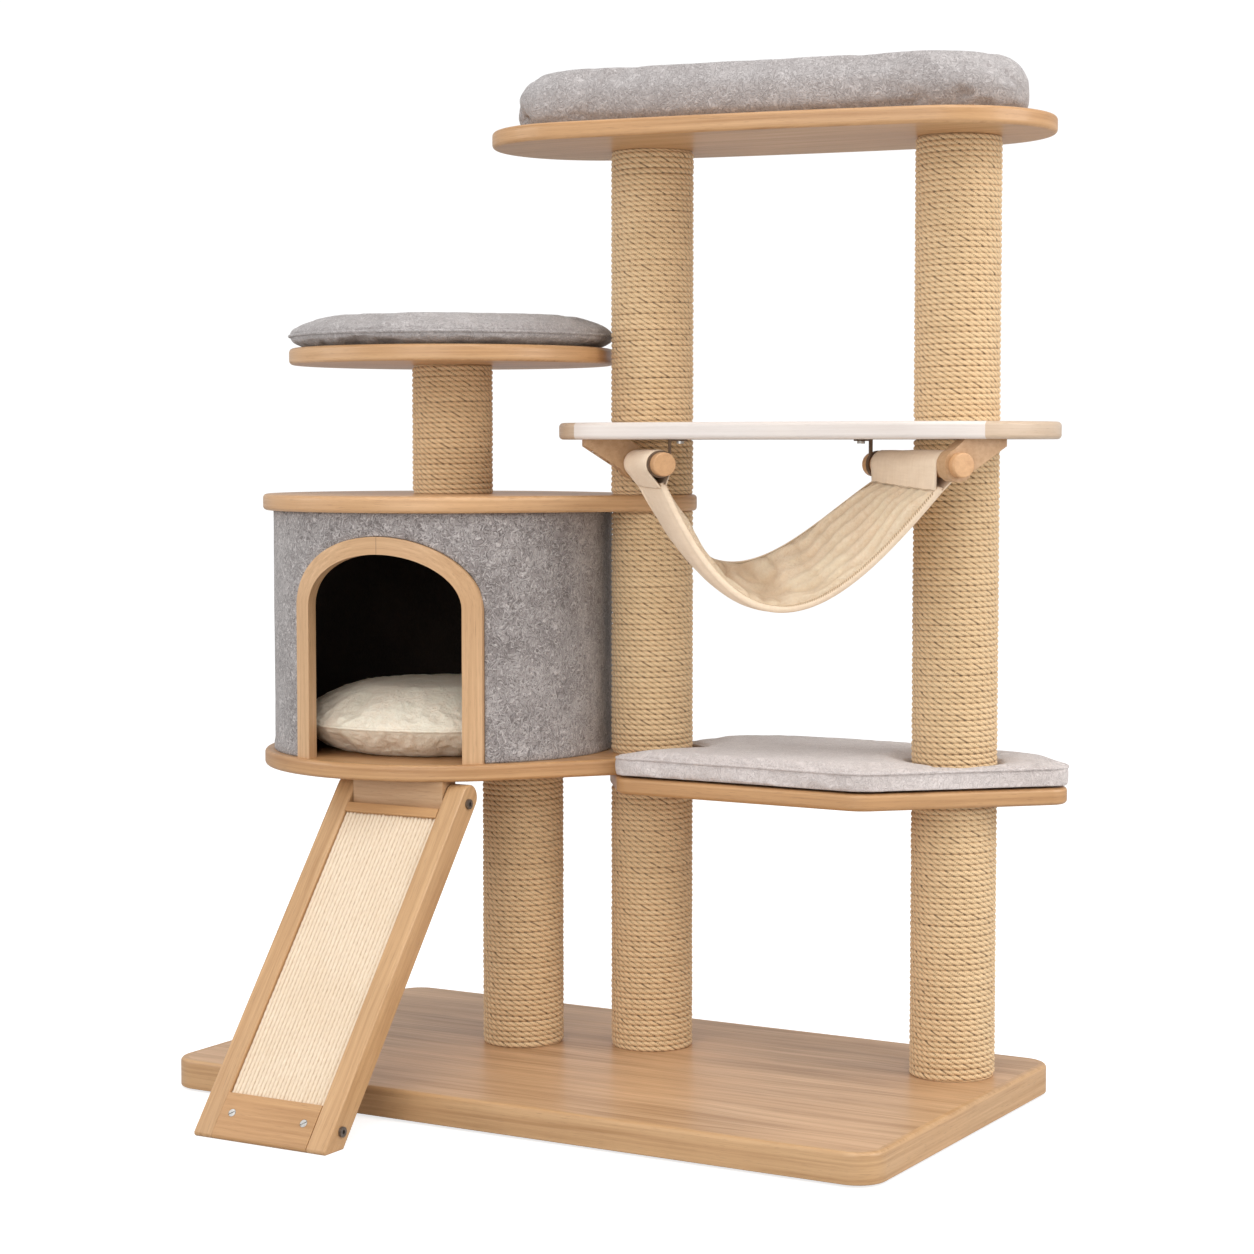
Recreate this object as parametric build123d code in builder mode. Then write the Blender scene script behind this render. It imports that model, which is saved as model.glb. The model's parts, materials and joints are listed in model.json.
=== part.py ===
from build123d import *
import math
import os

os.makedirs("parts", exist_ok=True)

# ---------------------------------------------------------------- driving sizes (mm)
BASE_L, BASE_W = 940.0, 525.0
FOOT_H = 3.0
FOOT_R = 15.0
FOOT_GAP_X, FOOT_GAP_Y = 400.0, 200.0
BASE_TOP = 38.0
BASE_CORNER = 35.0
BAND_W = 9.0
BOARD_T = 20.0
BOARD_EDGE = 5.0

POST_R = 50.0
CORE_R = 44.0
CORE_T = 4.0
PLUG_T = 18.0
STUD_R = 5.0
HEAD_R = 10.0
HEAD_T = 4.0

A_XY = (-149.6, 39.0)
B_XY = (0.0, 101.0)
C_XY = (389.6, 134.7)
P_XY = (-252.0, 38.0)
HOUSE_XY = (-262.0, 32.0)

PLATFORM_Z = 364.0
FLOOR_Z = PLATFORM_Z + BOARD_T
FLOOR_TOP = FLOOR_Z + BOARD_T
ROOF_Z = 702.0
ROOF_TOP = ROOF_Z + BOARD_T
PERCH_Z = 882.0
PERCH_TOP = PERCH_Z + BOARD_T
SHELF_Z = 789.0
SHELF_TOP = SHELF_Z + BOARD_T
DECK_Z = 1139.0
DECK_TOP = DECK_Z + BOARD_T
REST = 0.3

HOUSE_BOARD_R = 225.0
WALL_R_OUT = 209.0
WALL_R_IN = 203.0
FELT_R = 212.0
LINING_R = 200.5
DOOR_TURN = 12.0
DOOR_HALF = 99.0
DOOR_RISE = 65.0
DOOR_SPRING = 184.0
TRIM_W = 21.0

PERCH_R = 203.0
SHELF_XA, SHELF_XB = 37.0, 405.0
SHELF_Y = 70.0
SHELF_R = 130.0
DECK_MID = (170.0, 77.0)
DECK_TURN = 8.6
DECK_HALF = 213.0
DECK_R = 131.0
DECK_SWELL = 8.0

DOWEL_R = 14.0
DOWEL_Z = 760.0
CLOTH_T = 4.0
ARM_T = 18.0

RAMP_X = -206.0
RAMP_TILT = 52.5
PIVOT_Y = -140.0
PIVOT_Z = 358.0
RAMP_W = 183.0
RAIL_W = 26.0
RAIL_D = 32.0
BLOCK_SCREW_X = 28.0
SCREW_R = 2.5
SCREW_BORE = SCREW_R + 0.1
SCREW_HEAD_R = 4.5
SCREW_HEAD_T = 3.0

LOW = (Align.CENTER, Align.CENTER, Align.MIN)
HIGH = (Align.CENTER, Align.CENTER, Align.MAX)

# ---------------------------------------------------------------- shared helpers


def bore(x, y, z0, z1, radius):
    """Vertical round hole between two heights."""
    with Locations((x, y, z0)):
        Cylinder(radius, z1 - z0, align=LOW, mode=Mode.SUBTRACT)


def hull_face(circles, grow=0.0, mode=Mode.ADD):
    """Convex outline wrapped round a few circles."""
    with BuildLine(mode=Mode.PRIVATE) as rim:
        for x, y, radius in circles:
            CenterArc((x, y), radius + grow, 0, 360)
    make_hull(rim.edges(), mode=mode)


def turned_plane(mid, turn, z):
    """Level plane turned about a vertical line."""
    x_dir = (math.cos(math.radians(turn)), math.sin(math.radians(turn)), 0)
    return Plane(origin=(*mid, z), x_dir=x_dir, z_dir=(0, 0, 1))


def oval_face(half, radius, swell):
    """Round-ended outline with gently bowed long sides."""
    reach = (half**2 + swell**2) / (2 * swell)
    tx = half + radius * half / reach
    ty = radius * (reach - swell) / reach
    with BuildLine(mode=Mode.PRIVATE) as rim:
        ThreePointArc((-tx, -ty), (0, -radius - swell), (tx, -ty))
        ThreePointArc((tx, -ty), (half + radius, 0), (tx, ty))
        ThreePointArc((tx, ty), (0, radius + swell), (-tx, ty))
        ThreePointArc((-tx, ty), (-half - radius, 0), (-tx, -ty))
    make_face(rim.edges())


def round_rims(part, z0, z1, radius):
    """Soften the outer top and bottom rims of a board."""
    rims = part.edges().filter_by_position(Axis.Z, z0 - 0.01, z0 + 0.01)
    rims += part.edges().filter_by_position(Axis.Z, z1 - 0.01, z1 + 0.01)
    fillet(rims, radius)


# ---------------------------------------------------------------- base
with BuildPart() as base_panel:
    with BuildSketch(Plane.XY.offset(FOOT_H)):
        RectangleRounded(BASE_L - 2 * BAND_W, BASE_W - 2 * BAND_W, BASE_CORNER - BAND_W)
    extrude(amount=BASE_TOP - FOOT_H)
    for px, py in (A_XY, B_XY, C_XY):
        bore(px, py, FOOT_H, BASE_TOP, STUD_R + 0.25)
        bore(px, py, FOOT_H, FOOT_H + HEAD_T + 0.2, HEAD_R + 0.3)
base_panel.part.label = "base_panel"
export_step(base_panel.part, "parts/base_panel.step")

with BuildPart() as base_edge_band:
    with BuildSketch(Plane.XY.offset(FOOT_H)):
        RectangleRounded(BASE_L, BASE_W, BASE_CORNER)
    extrude(amount=BASE_TOP - FOOT_H)
    fillet(base_edge_band.faces().sort_by(Axis.Z)[-1].edges(), 5)
    fillet(base_edge_band.faces().sort_by(Axis.Z)[0].edges(), 2)
    with BuildSketch(Plane.XY.offset(FOOT_H)):
        RectangleRounded(BASE_L - 2 * BAND_W, BASE_W - 2 * BAND_W, BASE_CORNER - BAND_W)
    extrude(amount=BASE_TOP, mode=Mode.SUBTRACT)
base_edge_band.part.label = "base_edge_band"
export_step(base_edge_band.part, "parts/base_edge_band.step")

with BuildPart() as base_feet:
    with BuildSketch(Plane.XY):
        with GridLocations(FOOT_GAP_X, FOOT_GAP_Y, 3, 3):
            Circle(FOOT_R)
    extrude(amount=FOOT_H)
base_feet.part.label = "base_feet"
export_step(base_feet.part, "parts/base_feet.step")

# ---------------------------------------------------------------- rope-wound posts
SECTIONS = (
    ("post_a", A_XY, BASE_TOP, FLOOR_Z),
    ("post_b_low", B_XY, BASE_TOP, PLATFORM_Z),
    ("post_b_mid", B_XY, FLOOR_TOP, ROOF_Z),
    ("post_b_short", B_XY, ROOF_TOP, SHELF_Z),
    ("post_b_top", B_XY, SHELF_TOP, DECK_Z),
    ("post_c_low", C_XY, BASE_TOP, PLATFORM_Z),
    ("post_c_mid", C_XY, FLOOR_Z, SHELF_Z),
    ("post_c_top", C_XY, SHELF_TOP, DECK_Z),
    ("post_perch", P_XY, ROOF_TOP, PERCH_Z),
)

for name, (px, py), z0, z1 in SECTIONS:
    with BuildPart() as core:
        with BuildSketch(Plane.XY.offset(z0)):
            with Locations((px, py)):
                Circle(CORE_R)
                Circle(CORE_R - CORE_T, mode=Mode.SUBTRACT)
        extrude(amount=z1 - z0)
    core.part.label = name + "_core"
    export_step(core.part, "parts/" + name + "_core.step")

    with BuildPart() as rope:
        with BuildSketch(Plane.XY.offset(z0)):
            with Locations((px, py)):
                Circle(POST_R)
                Circle(CORE_R, mode=Mode.SUBTRACT)
        extrude(amount=z1 - z0)
    rope.part.label = name + "_rope"
    export_step(rope.part, "parts/" + name + "_rope.step")

with BuildPart() as post_end_plugs:
    for name, (px, py), z0, z1 in SECTIONS:
        with Locations((px, py, z0)):
            Cylinder(CORE_R - CORE_T, PLUG_T, align=LOW)
        with Locations((px, py, z1)):
            Cylinder(CORE_R - CORE_T, PLUG_T, align=HIGH)
    for name, (px, py), z0, z1 in SECTIONS:
        bore(px, py, z0 - 1, z1 + 1, STUD_R + 0.1)
post_end_plugs.part.label = "post_end_plugs"
export_step(post_end_plugs.part, "parts/post_end_plugs.step")

STUD_GRIP = 15.0
STUDS = (
    (B_XY, PLATFORM_Z, FLOOR_TOP),
    (B_XY, ROOF_Z, ROOF_TOP),
    (B_XY, SHELF_Z, SHELF_TOP),
    (C_XY, PLATFORM_Z, FLOOR_Z),
    (C_XY, SHELF_Z, SHELF_TOP),
)
with BuildPart() as joining_studs:
    for (px, py), z0, z1 in STUDS:
        with Locations((px, py, z0 - STUD_GRIP)):
            Cylinder(STUD_R, z1 - z0 + 2 * STUD_GRIP, align=LOW)
    chamfer(joining_studs.edges().filter_by(GeomType.CIRCLE), 1)
joining_studs.part.label = "joining_studs"
export_step(joining_studs.part, "parts/joining_studs.step")

BOLTS_UP = (
    (A_XY, FOOT_H, BASE_TOP),
    (B_XY, FOOT_H, BASE_TOP),
    (C_XY, FOOT_H, BASE_TOP),
    (P_XY, ROOF_Z, ROOF_TOP),
)
BOLTS_DOWN = (
    (A_XY, FLOOR_TOP, FLOOR_Z),
    (P_XY, PERCH_TOP, PERCH_Z),
    (B_XY, DECK_TOP, DECK_Z),
    (C_XY, DECK_TOP, DECK_Z),
)
with BuildPart() as post_bolts:
    for (px, py), z0, z1 in BOLTS_UP:
        with Locations((px, py, z0)):
            Cylinder(HEAD_R, HEAD_T, align=LOW)
            Cylinder(STUD_R, z1 - z0 + STUD_GRIP, align=LOW)
    for (px, py), z0, z1 in BOLTS_DOWN:
        with Locations((px, py, z0)):
            Cylinder(HEAD_R, HEAD_T, align=HIGH)
            Cylinder(STUD_R, z0 - z1 + STUD_GRIP, align=HIGH)
post_bolts.part.label = "post_bolts"
export_step(post_bolts.part, "parts/post_bolts.step")

# ---------------------------------------------------------------- lower platform
PLATFORM = (
    (B_XY[0], B_XY[1], 52.0),
    (26.0, 8.0, 20.0),
    (322.0, 22.0, 40.0),
    (490.0, 168.0, 26.0),
    (438.0, 214.0, 34.0),
    (96.0, 212.0, 40.0),
)
TAB_R = 62.0
ROOF_TAB_R = 55.0
HOUSE_FLOOR = ((HOUSE_XY[0], HOUSE_XY[1], HOUSE_BOARD_R), (B_XY[0], B_XY[1], TAB_R))
HOUSE_ROOF = ((HOUSE_XY[0], HOUSE_XY[1], HOUSE_BOARD_R), (B_XY[0], B_XY[1], ROOF_TAB_R))

with BuildPart() as lower_platform_board:
    with BuildSketch(Plane.XY.offset(PLATFORM_Z)):
        hull_face(PLATFORM)
    extrude(amount=BOARD_T)
    round_rims(lower_platform_board, PLATFORM_Z, FLOOR_Z, BOARD_EDGE)
    for px, py in (B_XY, C_XY):
        bore(px, py, PLATFORM_Z, FLOOR_Z, STUD_R + 0.25)
lower_platform_board.part.label = "lower_platform_board"
export_step(lower_platform_board.part, "parts/lower_platform_board.step")

PAD_T = 30.0
PAD_GROW = 3.0
TAB_GAP = 4.0
with BuildPart() as lower_pad:
    with BuildSketch(Plane.XY.offset(FLOOR_Z + REST)) as pad_outline:
        hull_face(PLATFORM, PAD_GROW)
        hull_face(HOUSE_FLOOR, TAB_GAP, Mode.SUBTRACT)
        tips = pad_outline.vertices().filter_by(
            lambda v: abs(math.hypot(v.X - B_XY[0], v.Y - B_XY[1]) - TAB_R - TAB_GAP) < 0.5
        )
        fillet(tips, 9)
        with Locations(C_XY):
            Circle(POST_R + 2.5, mode=Mode.SUBTRACT)
    extrude(amount=PAD_T)
    fillet(lower_pad.faces().sort_by(Axis.Z)[-1].edges(), 8)
    fillet(lower_pad.faces().sort_by(Axis.Z)[0].edges(), 4)
lower_pad.part.label = "lower_pad"
export_step(lower_pad.part, "parts/lower_pad.step")

# ---------------------------------------------------------------- drum house
DOOR_PLANE = Plane(
    origin=(HOUSE_XY[0], HOUSE_XY[1], FLOOR_TOP),
    x_dir=(math.cos(math.radians(DOOR_TURN)), math.sin(math.radians(DOOR_TURN)), 0),
    z_dir=(math.sin(math.radians(DOOR_TURN)), -math.cos(math.radians(DOOR_TURN)), 0),
)
TRIM_R_IN = 197.0
TRIM_R_OUT = 217.0
WALL_Z0 = FLOOR_TOP
WALL_H = ROOF_Z - FLOOR_TOP


def arch_face(half, rise):
    """Door outline: straight jambs under a low round arch."""
    with BuildLine(mode=Mode.PRIVATE) as rim:
        Polyline((-half, DOOR_SPRING), (-half, 0), (half, 0), (half, DOOR_SPRING))
        EllipticalCenterArc((0, DOOR_SPRING), half, rise, start_angle=0, arc_size=180)
    make_face(rim.edges())


def ring_wall(r_out, r_in, z0, height):
    """Upright round shell on the centre of the house."""
    with BuildSketch(Plane.XY.offset(z0), mode=Mode.PRIVATE) as ring:
        with Locations(HOUSE_XY):
            Circle(r_out)
            Circle(r_in, mode=Mode.SUBTRACT)
    extrude(ring.sketch, amount=height)


def cut_door(grow):
    """Open the doorway through a round shell."""
    with BuildSketch(DOOR_PLANE, mode=Mode.PRIVATE) as doorway:
        arch_face(DOOR_HALF + TRIM_W + grow, DOOR_RISE + TRIM_W + grow)
    extrude(doorway.sketch, amount=300, mode=Mode.SUBTRACT)


with BuildPart() as house_floor_board:
    with BuildSketch(Plane.XY.offset(FLOOR_Z)):
        hull_face(HOUSE_FLOOR)
    extrude(amount=BOARD_T)
    round_rims(house_floor_board, FLOOR_Z, FLOOR_TOP, BOARD_EDGE)
    bore(B_XY[0], B_XY[1], FLOOR_Z, FLOOR_TOP, STUD_R + 0.25)
    bore(A_XY[0], A_XY[1], FLOOR_Z, FLOOR_TOP, STUD_R + 0.25)
    bore(A_XY[0], A_XY[1], FLOOR_TOP - HEAD_T - 0.2, FLOOR_TOP, HEAD_R + 0.3)
    for sx in (-1, 1):
        bore(RAMP_X + sx * BLOCK_SCREW_X, PIVOT_Y, FLOOR_Z, FLOOR_Z + 12, SCREW_BORE)
house_floor_board.part.label = "house_floor_board"
export_step(house_floor_board.part, "parts/house_floor_board.step")

with BuildPart() as house_wall:
    ring_wall(WALL_R_OUT, WALL_R_IN, WALL_Z0, WALL_H)
    cut_door(0.2)
house_wall.part.label = "house_wall"
export_step(house_wall.part, "parts/house_wall.step")

with BuildPart() as house_felt_cover:
    ring_wall(FELT_R, WALL_R_OUT, WALL_Z0, WALL_H)
    cut_door(0.2)
house_felt_cover.part.label = "house_felt_cover"
export_step(house_felt_cover.part, "parts/house_felt_cover.step")

with BuildPart() as house_lining:
    ring_wall(WALL_R_IN, LINING_R, WALL_Z0, WALL_H)
    cut_door(0.2)
house_lining.part.label = "house_lining"
export_step(house_lining.part, "parts/house_lining.step")

with BuildPart() as door_trim:
    with BuildSketch(DOOR_PLANE):
        arch_face(DOOR_HALF + TRIM_W, DOOR_RISE + TRIM_W)
    extrude(amount=300)
    with BuildSketch(DOOR_PLANE):
        arch_face(DOOR_HALF, DOOR_RISE)
    extrude(amount=300, mode=Mode.SUBTRACT)
    with Locations((HOUSE_XY[0], HOUSE_XY[1], FLOOR_TOP)):
        Cylinder(TRIM_R_OUT, WALL_H, align=LOW, mode=Mode.INTERSECT)
        Cylinder(TRIM_R_IN, WALL_H, align=LOW, mode=Mode.SUBTRACT)
    fillet(door_trim.faces().filter_by(GeomType.CYLINDER).sort_by(SortBy.AREA)[-1].edges(), 2.5)
door_trim.part.label = "door_trim"
export_step(door_trim.part, "parts/door_trim.step")

with BuildPart() as house_top_board:
    with BuildSketch(Plane.XY.offset(ROOF_Z)):
        hull_face(HOUSE_ROOF)
    extrude(amount=BOARD_T)
    round_rims(house_top_board, ROOF_Z, ROOF_TOP, BOARD_EDGE)
    bore(B_XY[0], B_XY[1], ROOF_Z, ROOF_TOP, STUD_R + 0.25)
    bore(P_XY[0], P_XY[1], ROOF_Z, ROOF_TOP, STUD_R + 0.25)
    bore(P_XY[0], P_XY[1], ROOF_Z, ROOF_Z + HEAD_T + 0.2, HEAD_R + 0.3)
house_top_board.part.label = "house_top_board"
export_step(house_top_board.part, "parts/house_top_board.step")


def puff(cx, cy, z0, radius, z_seam, z_top, r_low, r_top):
    """Round stuffed cushion with its seam low on the rim."""
    with BuildSketch(Plane.XZ.offset(-cy), mode=Mode.PRIVATE) as half:
        with BuildLine():
            Line((cx, z0), (cx + r_low, z0))
            EllipticalCenterArc(
                (cx + r_low, z_seam), radius - r_low, z_seam - z0, start_angle=-90, arc_size=90
            )
            EllipticalCenterArc(
                (cx + r_top, z_seam), radius - r_top, z_top - z_seam, start_angle=0, arc_size=90
            )
            Line((cx + r_top, z_top), (cx, z_top))
            Line((cx, z_top), (cx, z0))
        make_face()
    revolve(half.sketch, axis=Axis((cx, cy, 0), (0, 0, 1)), revolution_arc=360)


DEN_R = 186.0
with BuildPart() as den_cushion:
    puff(HOUSE_XY[0], HOUSE_XY[1], FLOOR_TOP + REST, DEN_R, FLOOR_TOP + 36, FLOOR_TOP + 74, 152, 136)
den_cushion.part.label = "den_cushion"
export_step(den_cushion.part, "parts/den_cushion.step")

# ---------------------------------------------------------------- perch
with BuildPart() as perch_board:
    with BuildSketch(Plane.XY.offset(PERCH_Z)):
        with Locations(P_XY):
            Circle(PERCH_R)
    extrude(amount=BOARD_T)
    round_rims(perch_board, PERCH_Z, PERCH_TOP, BOARD_EDGE)
    bore(P_XY[0], P_XY[1], PERCH_Z, PERCH_TOP, STUD_R + 0.25)
    bore(P_XY[0], P_XY[1], PERCH_TOP - HEAD_T - 0.2, PERCH_TOP, HEAD_R + 0.3)
perch_board.part.label = "perch_board"
export_step(perch_board.part, "parts/perch_board.step")

with BuildPart() as perch_cushion:
    puff(P_XY[0], P_XY[1], PERCH_TOP + REST, PERCH_R + 2, PERCH_TOP + 15, PERCH_TOP + 37, 184, 166)
perch_cushion.part.label = "perch_cushion"
export_step(perch_cushion.part, "parts/perch_cushion.step")

# ---------------------------------------------------------------- shelf with hammock
class Spar:
    """One hammock dowel and the places along it of its arm, strap and cloth sleeve."""

    def __init__(self, front, turn, length, outward, arm, strap, sleeve):
        self.front = front
        self.length = length
        self.back = (-math.sin(math.radians(turn)), math.cos(math.radians(turn)))
        self.side = (outward * self.back[1], -outward * self.back[0])
        self.arm = arm
        self.strap = strap
        self.sleeve = sleeve

    def at(self, t, u=0.0, z=DOWEL_Z):
        """Point at t along the dowel and u away from the sling."""
        x = self.front[0] + self.back[0] * t + self.side[0] * u
        y = self.front[1] + self.back[1] * t + self.side[1] * u
        return (x, y, z)

    def cross_plane(self, t):
        """Upright plane square to the dowel, x away from the sling, y up."""
        normal = (self.side[1], -self.side[0], 0)
        return Plane(origin=self.at(t), x_dir=(self.side[0], self.side[1], 0), z_dir=normal)

    def end_plane(self, t):
        """Plane square to the dowel that looks along it, for round sections."""
        return Plane(origin=self.at(t), x_dir=(0, 0, 1), z_dir=(*self.back, 0))


SPAR_LEFT = Spar((110.5, -65.6), 47.0, 140.0, -1, 121.0, 16.0, (21.0, 108.0))
SPAR_RIGHT = Spar((474.0, -42.0), 55.2, 200.0, 1, 19.0, 184.0, (32.0, 175.0))
SPARS = (("left", SPAR_LEFT), ("right", SPAR_RIGHT))
DROP = SHELF_Z - DOWEL_Z
ARM_REACH = 62.0
ARM_NOSE = 18.5
ARM_SEAT = 8.0
ARM_TIP = 8.0
ARM_SCREWS = (30.0, 48.0)
ARM_SCREW_SEAT = DOWEL_Z + 14.0
ARM_SCREW_L = 28.0
STRAP_W = 6.0
STRAP_T = 2.0
STRAP_LEG = -11.0
STRAP_TAB = 22.0
STRAP_SCREW = -24.0
STRAP_SCREW_R = 2.0
STRAP_SCREW_L = 17.0
SLEEVE_BORE = DOWEL_R + 0.4
SLEEVE_R = DOWEL_R + 3.2

arm_screw_xy = [spar.at(spar.arm, u)[:2] for side, spar in SPARS for u in ARM_SCREWS]
strap_screw_xy = [spar.at(spar.strap, STRAP_SCREW)[:2] for side, spar in SPARS]

SHELF = ((SHELF_XA, SHELF_Y, SHELF_R), (SHELF_XB, SHELF_Y, SHELF_R))
SHELF_JOINT_L, SHELF_JOINT_R = -25.0, 492.0
SHELF_PIECES = (
    ("shelf_end_left", SHELF_XA - SHELF_R, SHELF_JOINT_L),
    ("shelf_board", SHELF_JOINT_L, SHELF_JOINT_R),
    ("shelf_end_right", SHELF_JOINT_R, SHELF_XB + SHELF_R),
)
for name, x0, x1 in SHELF_PIECES:
    with BuildPart() as plank:
        with BuildSketch(Plane.XY.offset(SHELF_Z)):
            hull_face(SHELF)
        extrude(amount=BOARD_T)
        round_rims(plank, SHELF_Z, SHELF_TOP, BOARD_EDGE)
        bore(B_XY[0], B_XY[1], SHELF_Z, SHELF_TOP, STUD_R + 0.25)
        bore(C_XY[0], C_XY[1], SHELF_Z, SHELF_TOP, STUD_R + 0.25)
        for px, py in arm_screw_xy + strap_screw_xy:
            bore(px, py, SHELF_Z, SHELF_Z + 15, SCREW_BORE)
        with Locations(((x0 + x1) / 2, SHELF_Y, SHELF_Z)):
            Box(x1 - x0, 2 * SHELF_R, BOARD_T, align=LOW, mode=Mode.INTERSECT)
    plank.part.label = name
    export_step(plank.part, "parts/" + name + ".step")

for side, spar in SPARS:
    with BuildPart() as dowel:
        with BuildSketch(spar.end_plane(0)):
            Circle(DOWEL_R)
        extrude(amount=spar.length)
        fillet(dowel.edges().filter_by(GeomType.CIRCLE), 2)
    dowel.part.label = "hammock_dowel_" + side
    export_step(dowel.part, "parts/hammock_dowel_" + side + ".step")

    with BuildPart() as arm:
        with BuildSketch(spar.cross_plane(spar.arm)):
            with BuildLine():
                nose = CenterArc((0, 0), ARM_NOSE, 110, 225)
                Polyline(
                    nose @ 0,
                    (ARM_SEAT, DROP),
                    (ARM_REACH, DROP),
                    (ARM_REACH, DROP - ARM_TIP),
                    nose @ 1,
                )
            make_face()
            Circle(DOWEL_R, mode=Mode.SUBTRACT)
        extrude(amount=ARM_T / 2, both=True)
        for u in ARM_SCREWS:
            px, py = spar.at(spar.arm, u)[:2]
            bore(px, py, ARM_SCREW_SEAT - 2 * ARM_NOSE, SHELF_Z, SCREW_BORE)
            bore(px, py, ARM_SCREW_SEAT - 2 * ARM_NOSE, ARM_SCREW_SEAT + 3.2, SCREW_HEAD_R + 0.5)
    arm.part.label = "hammock_arm_" + side
    export_step(arm.part, "parts/hammock_arm_" + side + ".step")

with BuildPart() as hammock_straps:
    for side, spar in SPARS:
        with BuildSketch(spar.cross_plane(spar.strap)):
            Circle(DOWEL_R + STRAP_T)
            with Locations((STRAP_LEG, DROP / 2)):
                Rectangle(STRAP_T, DROP)
            with Locations((STRAP_LEG + 1 - STRAP_TAB / 2, DROP - STRAP_T / 2)):
                Rectangle(STRAP_TAB, STRAP_T)
            Circle(DOWEL_R, mode=Mode.SUBTRACT)
        extrude(amount=STRAP_W / 2, both=True)
    for px, py in strap_screw_xy:
        bore(px, py, DOWEL_Z, SHELF_Z, STRAP_SCREW_R + 0.2)
hammock_straps.part.label = "hammock_straps"
export_step(hammock_straps.part, "parts/hammock_straps.step")

with BuildPart() as hammock_screws:
    for px, py in arm_screw_xy:
        with Locations((px, py, ARM_SCREW_SEAT)):
            Cylinder(SCREW_HEAD_R, SCREW_HEAD_T, align=LOW)
            Cylinder(SCREW_R, ARM_SCREW_L, align=LOW)
    for px, py in strap_screw_xy:
        with Locations((px, py, SHELF_Z - STRAP_T - SCREW_HEAD_T)):
            Cylinder(SCREW_HEAD_R, SCREW_HEAD_T, align=LOW)
            Cylinder(STRAP_SCREW_R, STRAP_SCREW_L, align=LOW)
hammock_screws.part.label = "hammock_screws"
export_step(hammock_screws.part, "parts/hammock_screws.step")

SLING_STEPS = 12
HANG = 16.0


def sling_face(start, end, sag, skew):
    """Cross-section of the hanging cloth, its lowest part skewed towards the left dowel."""
    span = math.hypot(end[0] - start[0], end[1] - start[1])
    ux = (end[0] - start[0]) / span
    uy = (end[1] - start[1]) / span
    upper = []
    lower = []
    for i in range(SLING_STEPS + 1):
        f = i / SLING_STEPS
        z = -HANG - 4 * sag * f * (1 - f) * (1 + skew * (1 - 2 * f))
        rate = (1 - 2 * f) * (1 + skew * (1 - 2 * f)) - 2 * skew * f * (1 - f)
        slope = math.atan(-4 * sag / span * rate)
        nx = -math.sin(slope) * CLOTH_T / 2
        nz = math.cos(slope) * CLOTH_T / 2
        upper.append((f * span + nx, z + nz))
        lower.append((f * span - nx, z - nz))
    plane = Plane(origin=start, x_dir=(ux, uy, 0), z_dir=(uy, -ux, 0))
    with BuildSketch(plane, mode=Mode.PRIVATE) as section:
        with BuildLine():
            Spline(*upper)
            Line(upper[-1], lower[-1])
            Spline(*lower)
            Line(lower[0], upper[0])
        make_face()
    return section.sketch


FRONT_SAG, FRONT_SKEW = 147.0, 0.3
BACK_SAG, BACK_SKEW = 98.0, 0.5
SELVEDGE = 0.5
front_section = sling_face(
    SPAR_LEFT.at(SPAR_LEFT.sleeve[0] + SELVEDGE),
    SPAR_RIGHT.at(SPAR_RIGHT.sleeve[0] + SELVEDGE),
    FRONT_SAG,
    FRONT_SKEW,
)
back_section = sling_face(
    SPAR_LEFT.at(SPAR_LEFT.sleeve[1] - SELVEDGE),
    SPAR_RIGHT.at(SPAR_RIGHT.sleeve[1] - SELVEDGE),
    BACK_SAG,
    BACK_SKEW,
)
with BuildPart() as hammock_cloth:
    loft(sections=[front_section, back_section])
    for side, spar in SPARS:
        with BuildSketch(spar.end_plane(spar.sleeve[0])):
            Circle(SLEEVE_R)
            Circle(SLEEVE_BORE, mode=Mode.SUBTRACT)
        extrude(amount=spar.sleeve[1] - spar.sleeve[0])
hammock_cloth.part.label = "hammock_cloth"
export_step(hammock_cloth.part, "parts/hammock_cloth.step")

# ---------------------------------------------------------------- top platform
with BuildPart() as top_platform_board:
    with BuildSketch(turned_plane(DECK_MID, DECK_TURN, DECK_Z)):
        oval_face(DECK_HALF, DECK_R, DECK_SWELL)
    extrude(amount=BOARD_T)
    round_rims(top_platform_board, DECK_Z, DECK_TOP, BOARD_EDGE)
    for px, py in (B_XY, C_XY):
        bore(px, py, DECK_Z, DECK_TOP, STUD_R + 0.25)
        bore(px, py, DECK_TOP - HEAD_T - 0.2, DECK_TOP, HEAD_R + 0.3)
top_platform_board.part.label = "top_platform_board"
export_step(top_platform_board.part, "parts/top_platform_board.step")

TOP_CUSHION_T = 60.0
CUSHION_INSET = 22.0
with BuildPart() as top_cushion:
    with BuildSketch(turned_plane(DECK_MID, DECK_TURN, DECK_TOP + REST)):
        oval_face(DECK_HALF, DECK_R - CUSHION_INSET, DECK_SWELL)
    extrude(amount=TOP_CUSHION_T)
    fillet(top_cushion.faces().sort_by(Axis.Z)[-1].edges(), 27)
    fillet(top_cushion.faces().sort_by(Axis.Z)[0].edges(), 15)
top_cushion.part.label = "top_cushion"
export_step(top_cushion.part, "parts/top_cushion.step")

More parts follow.
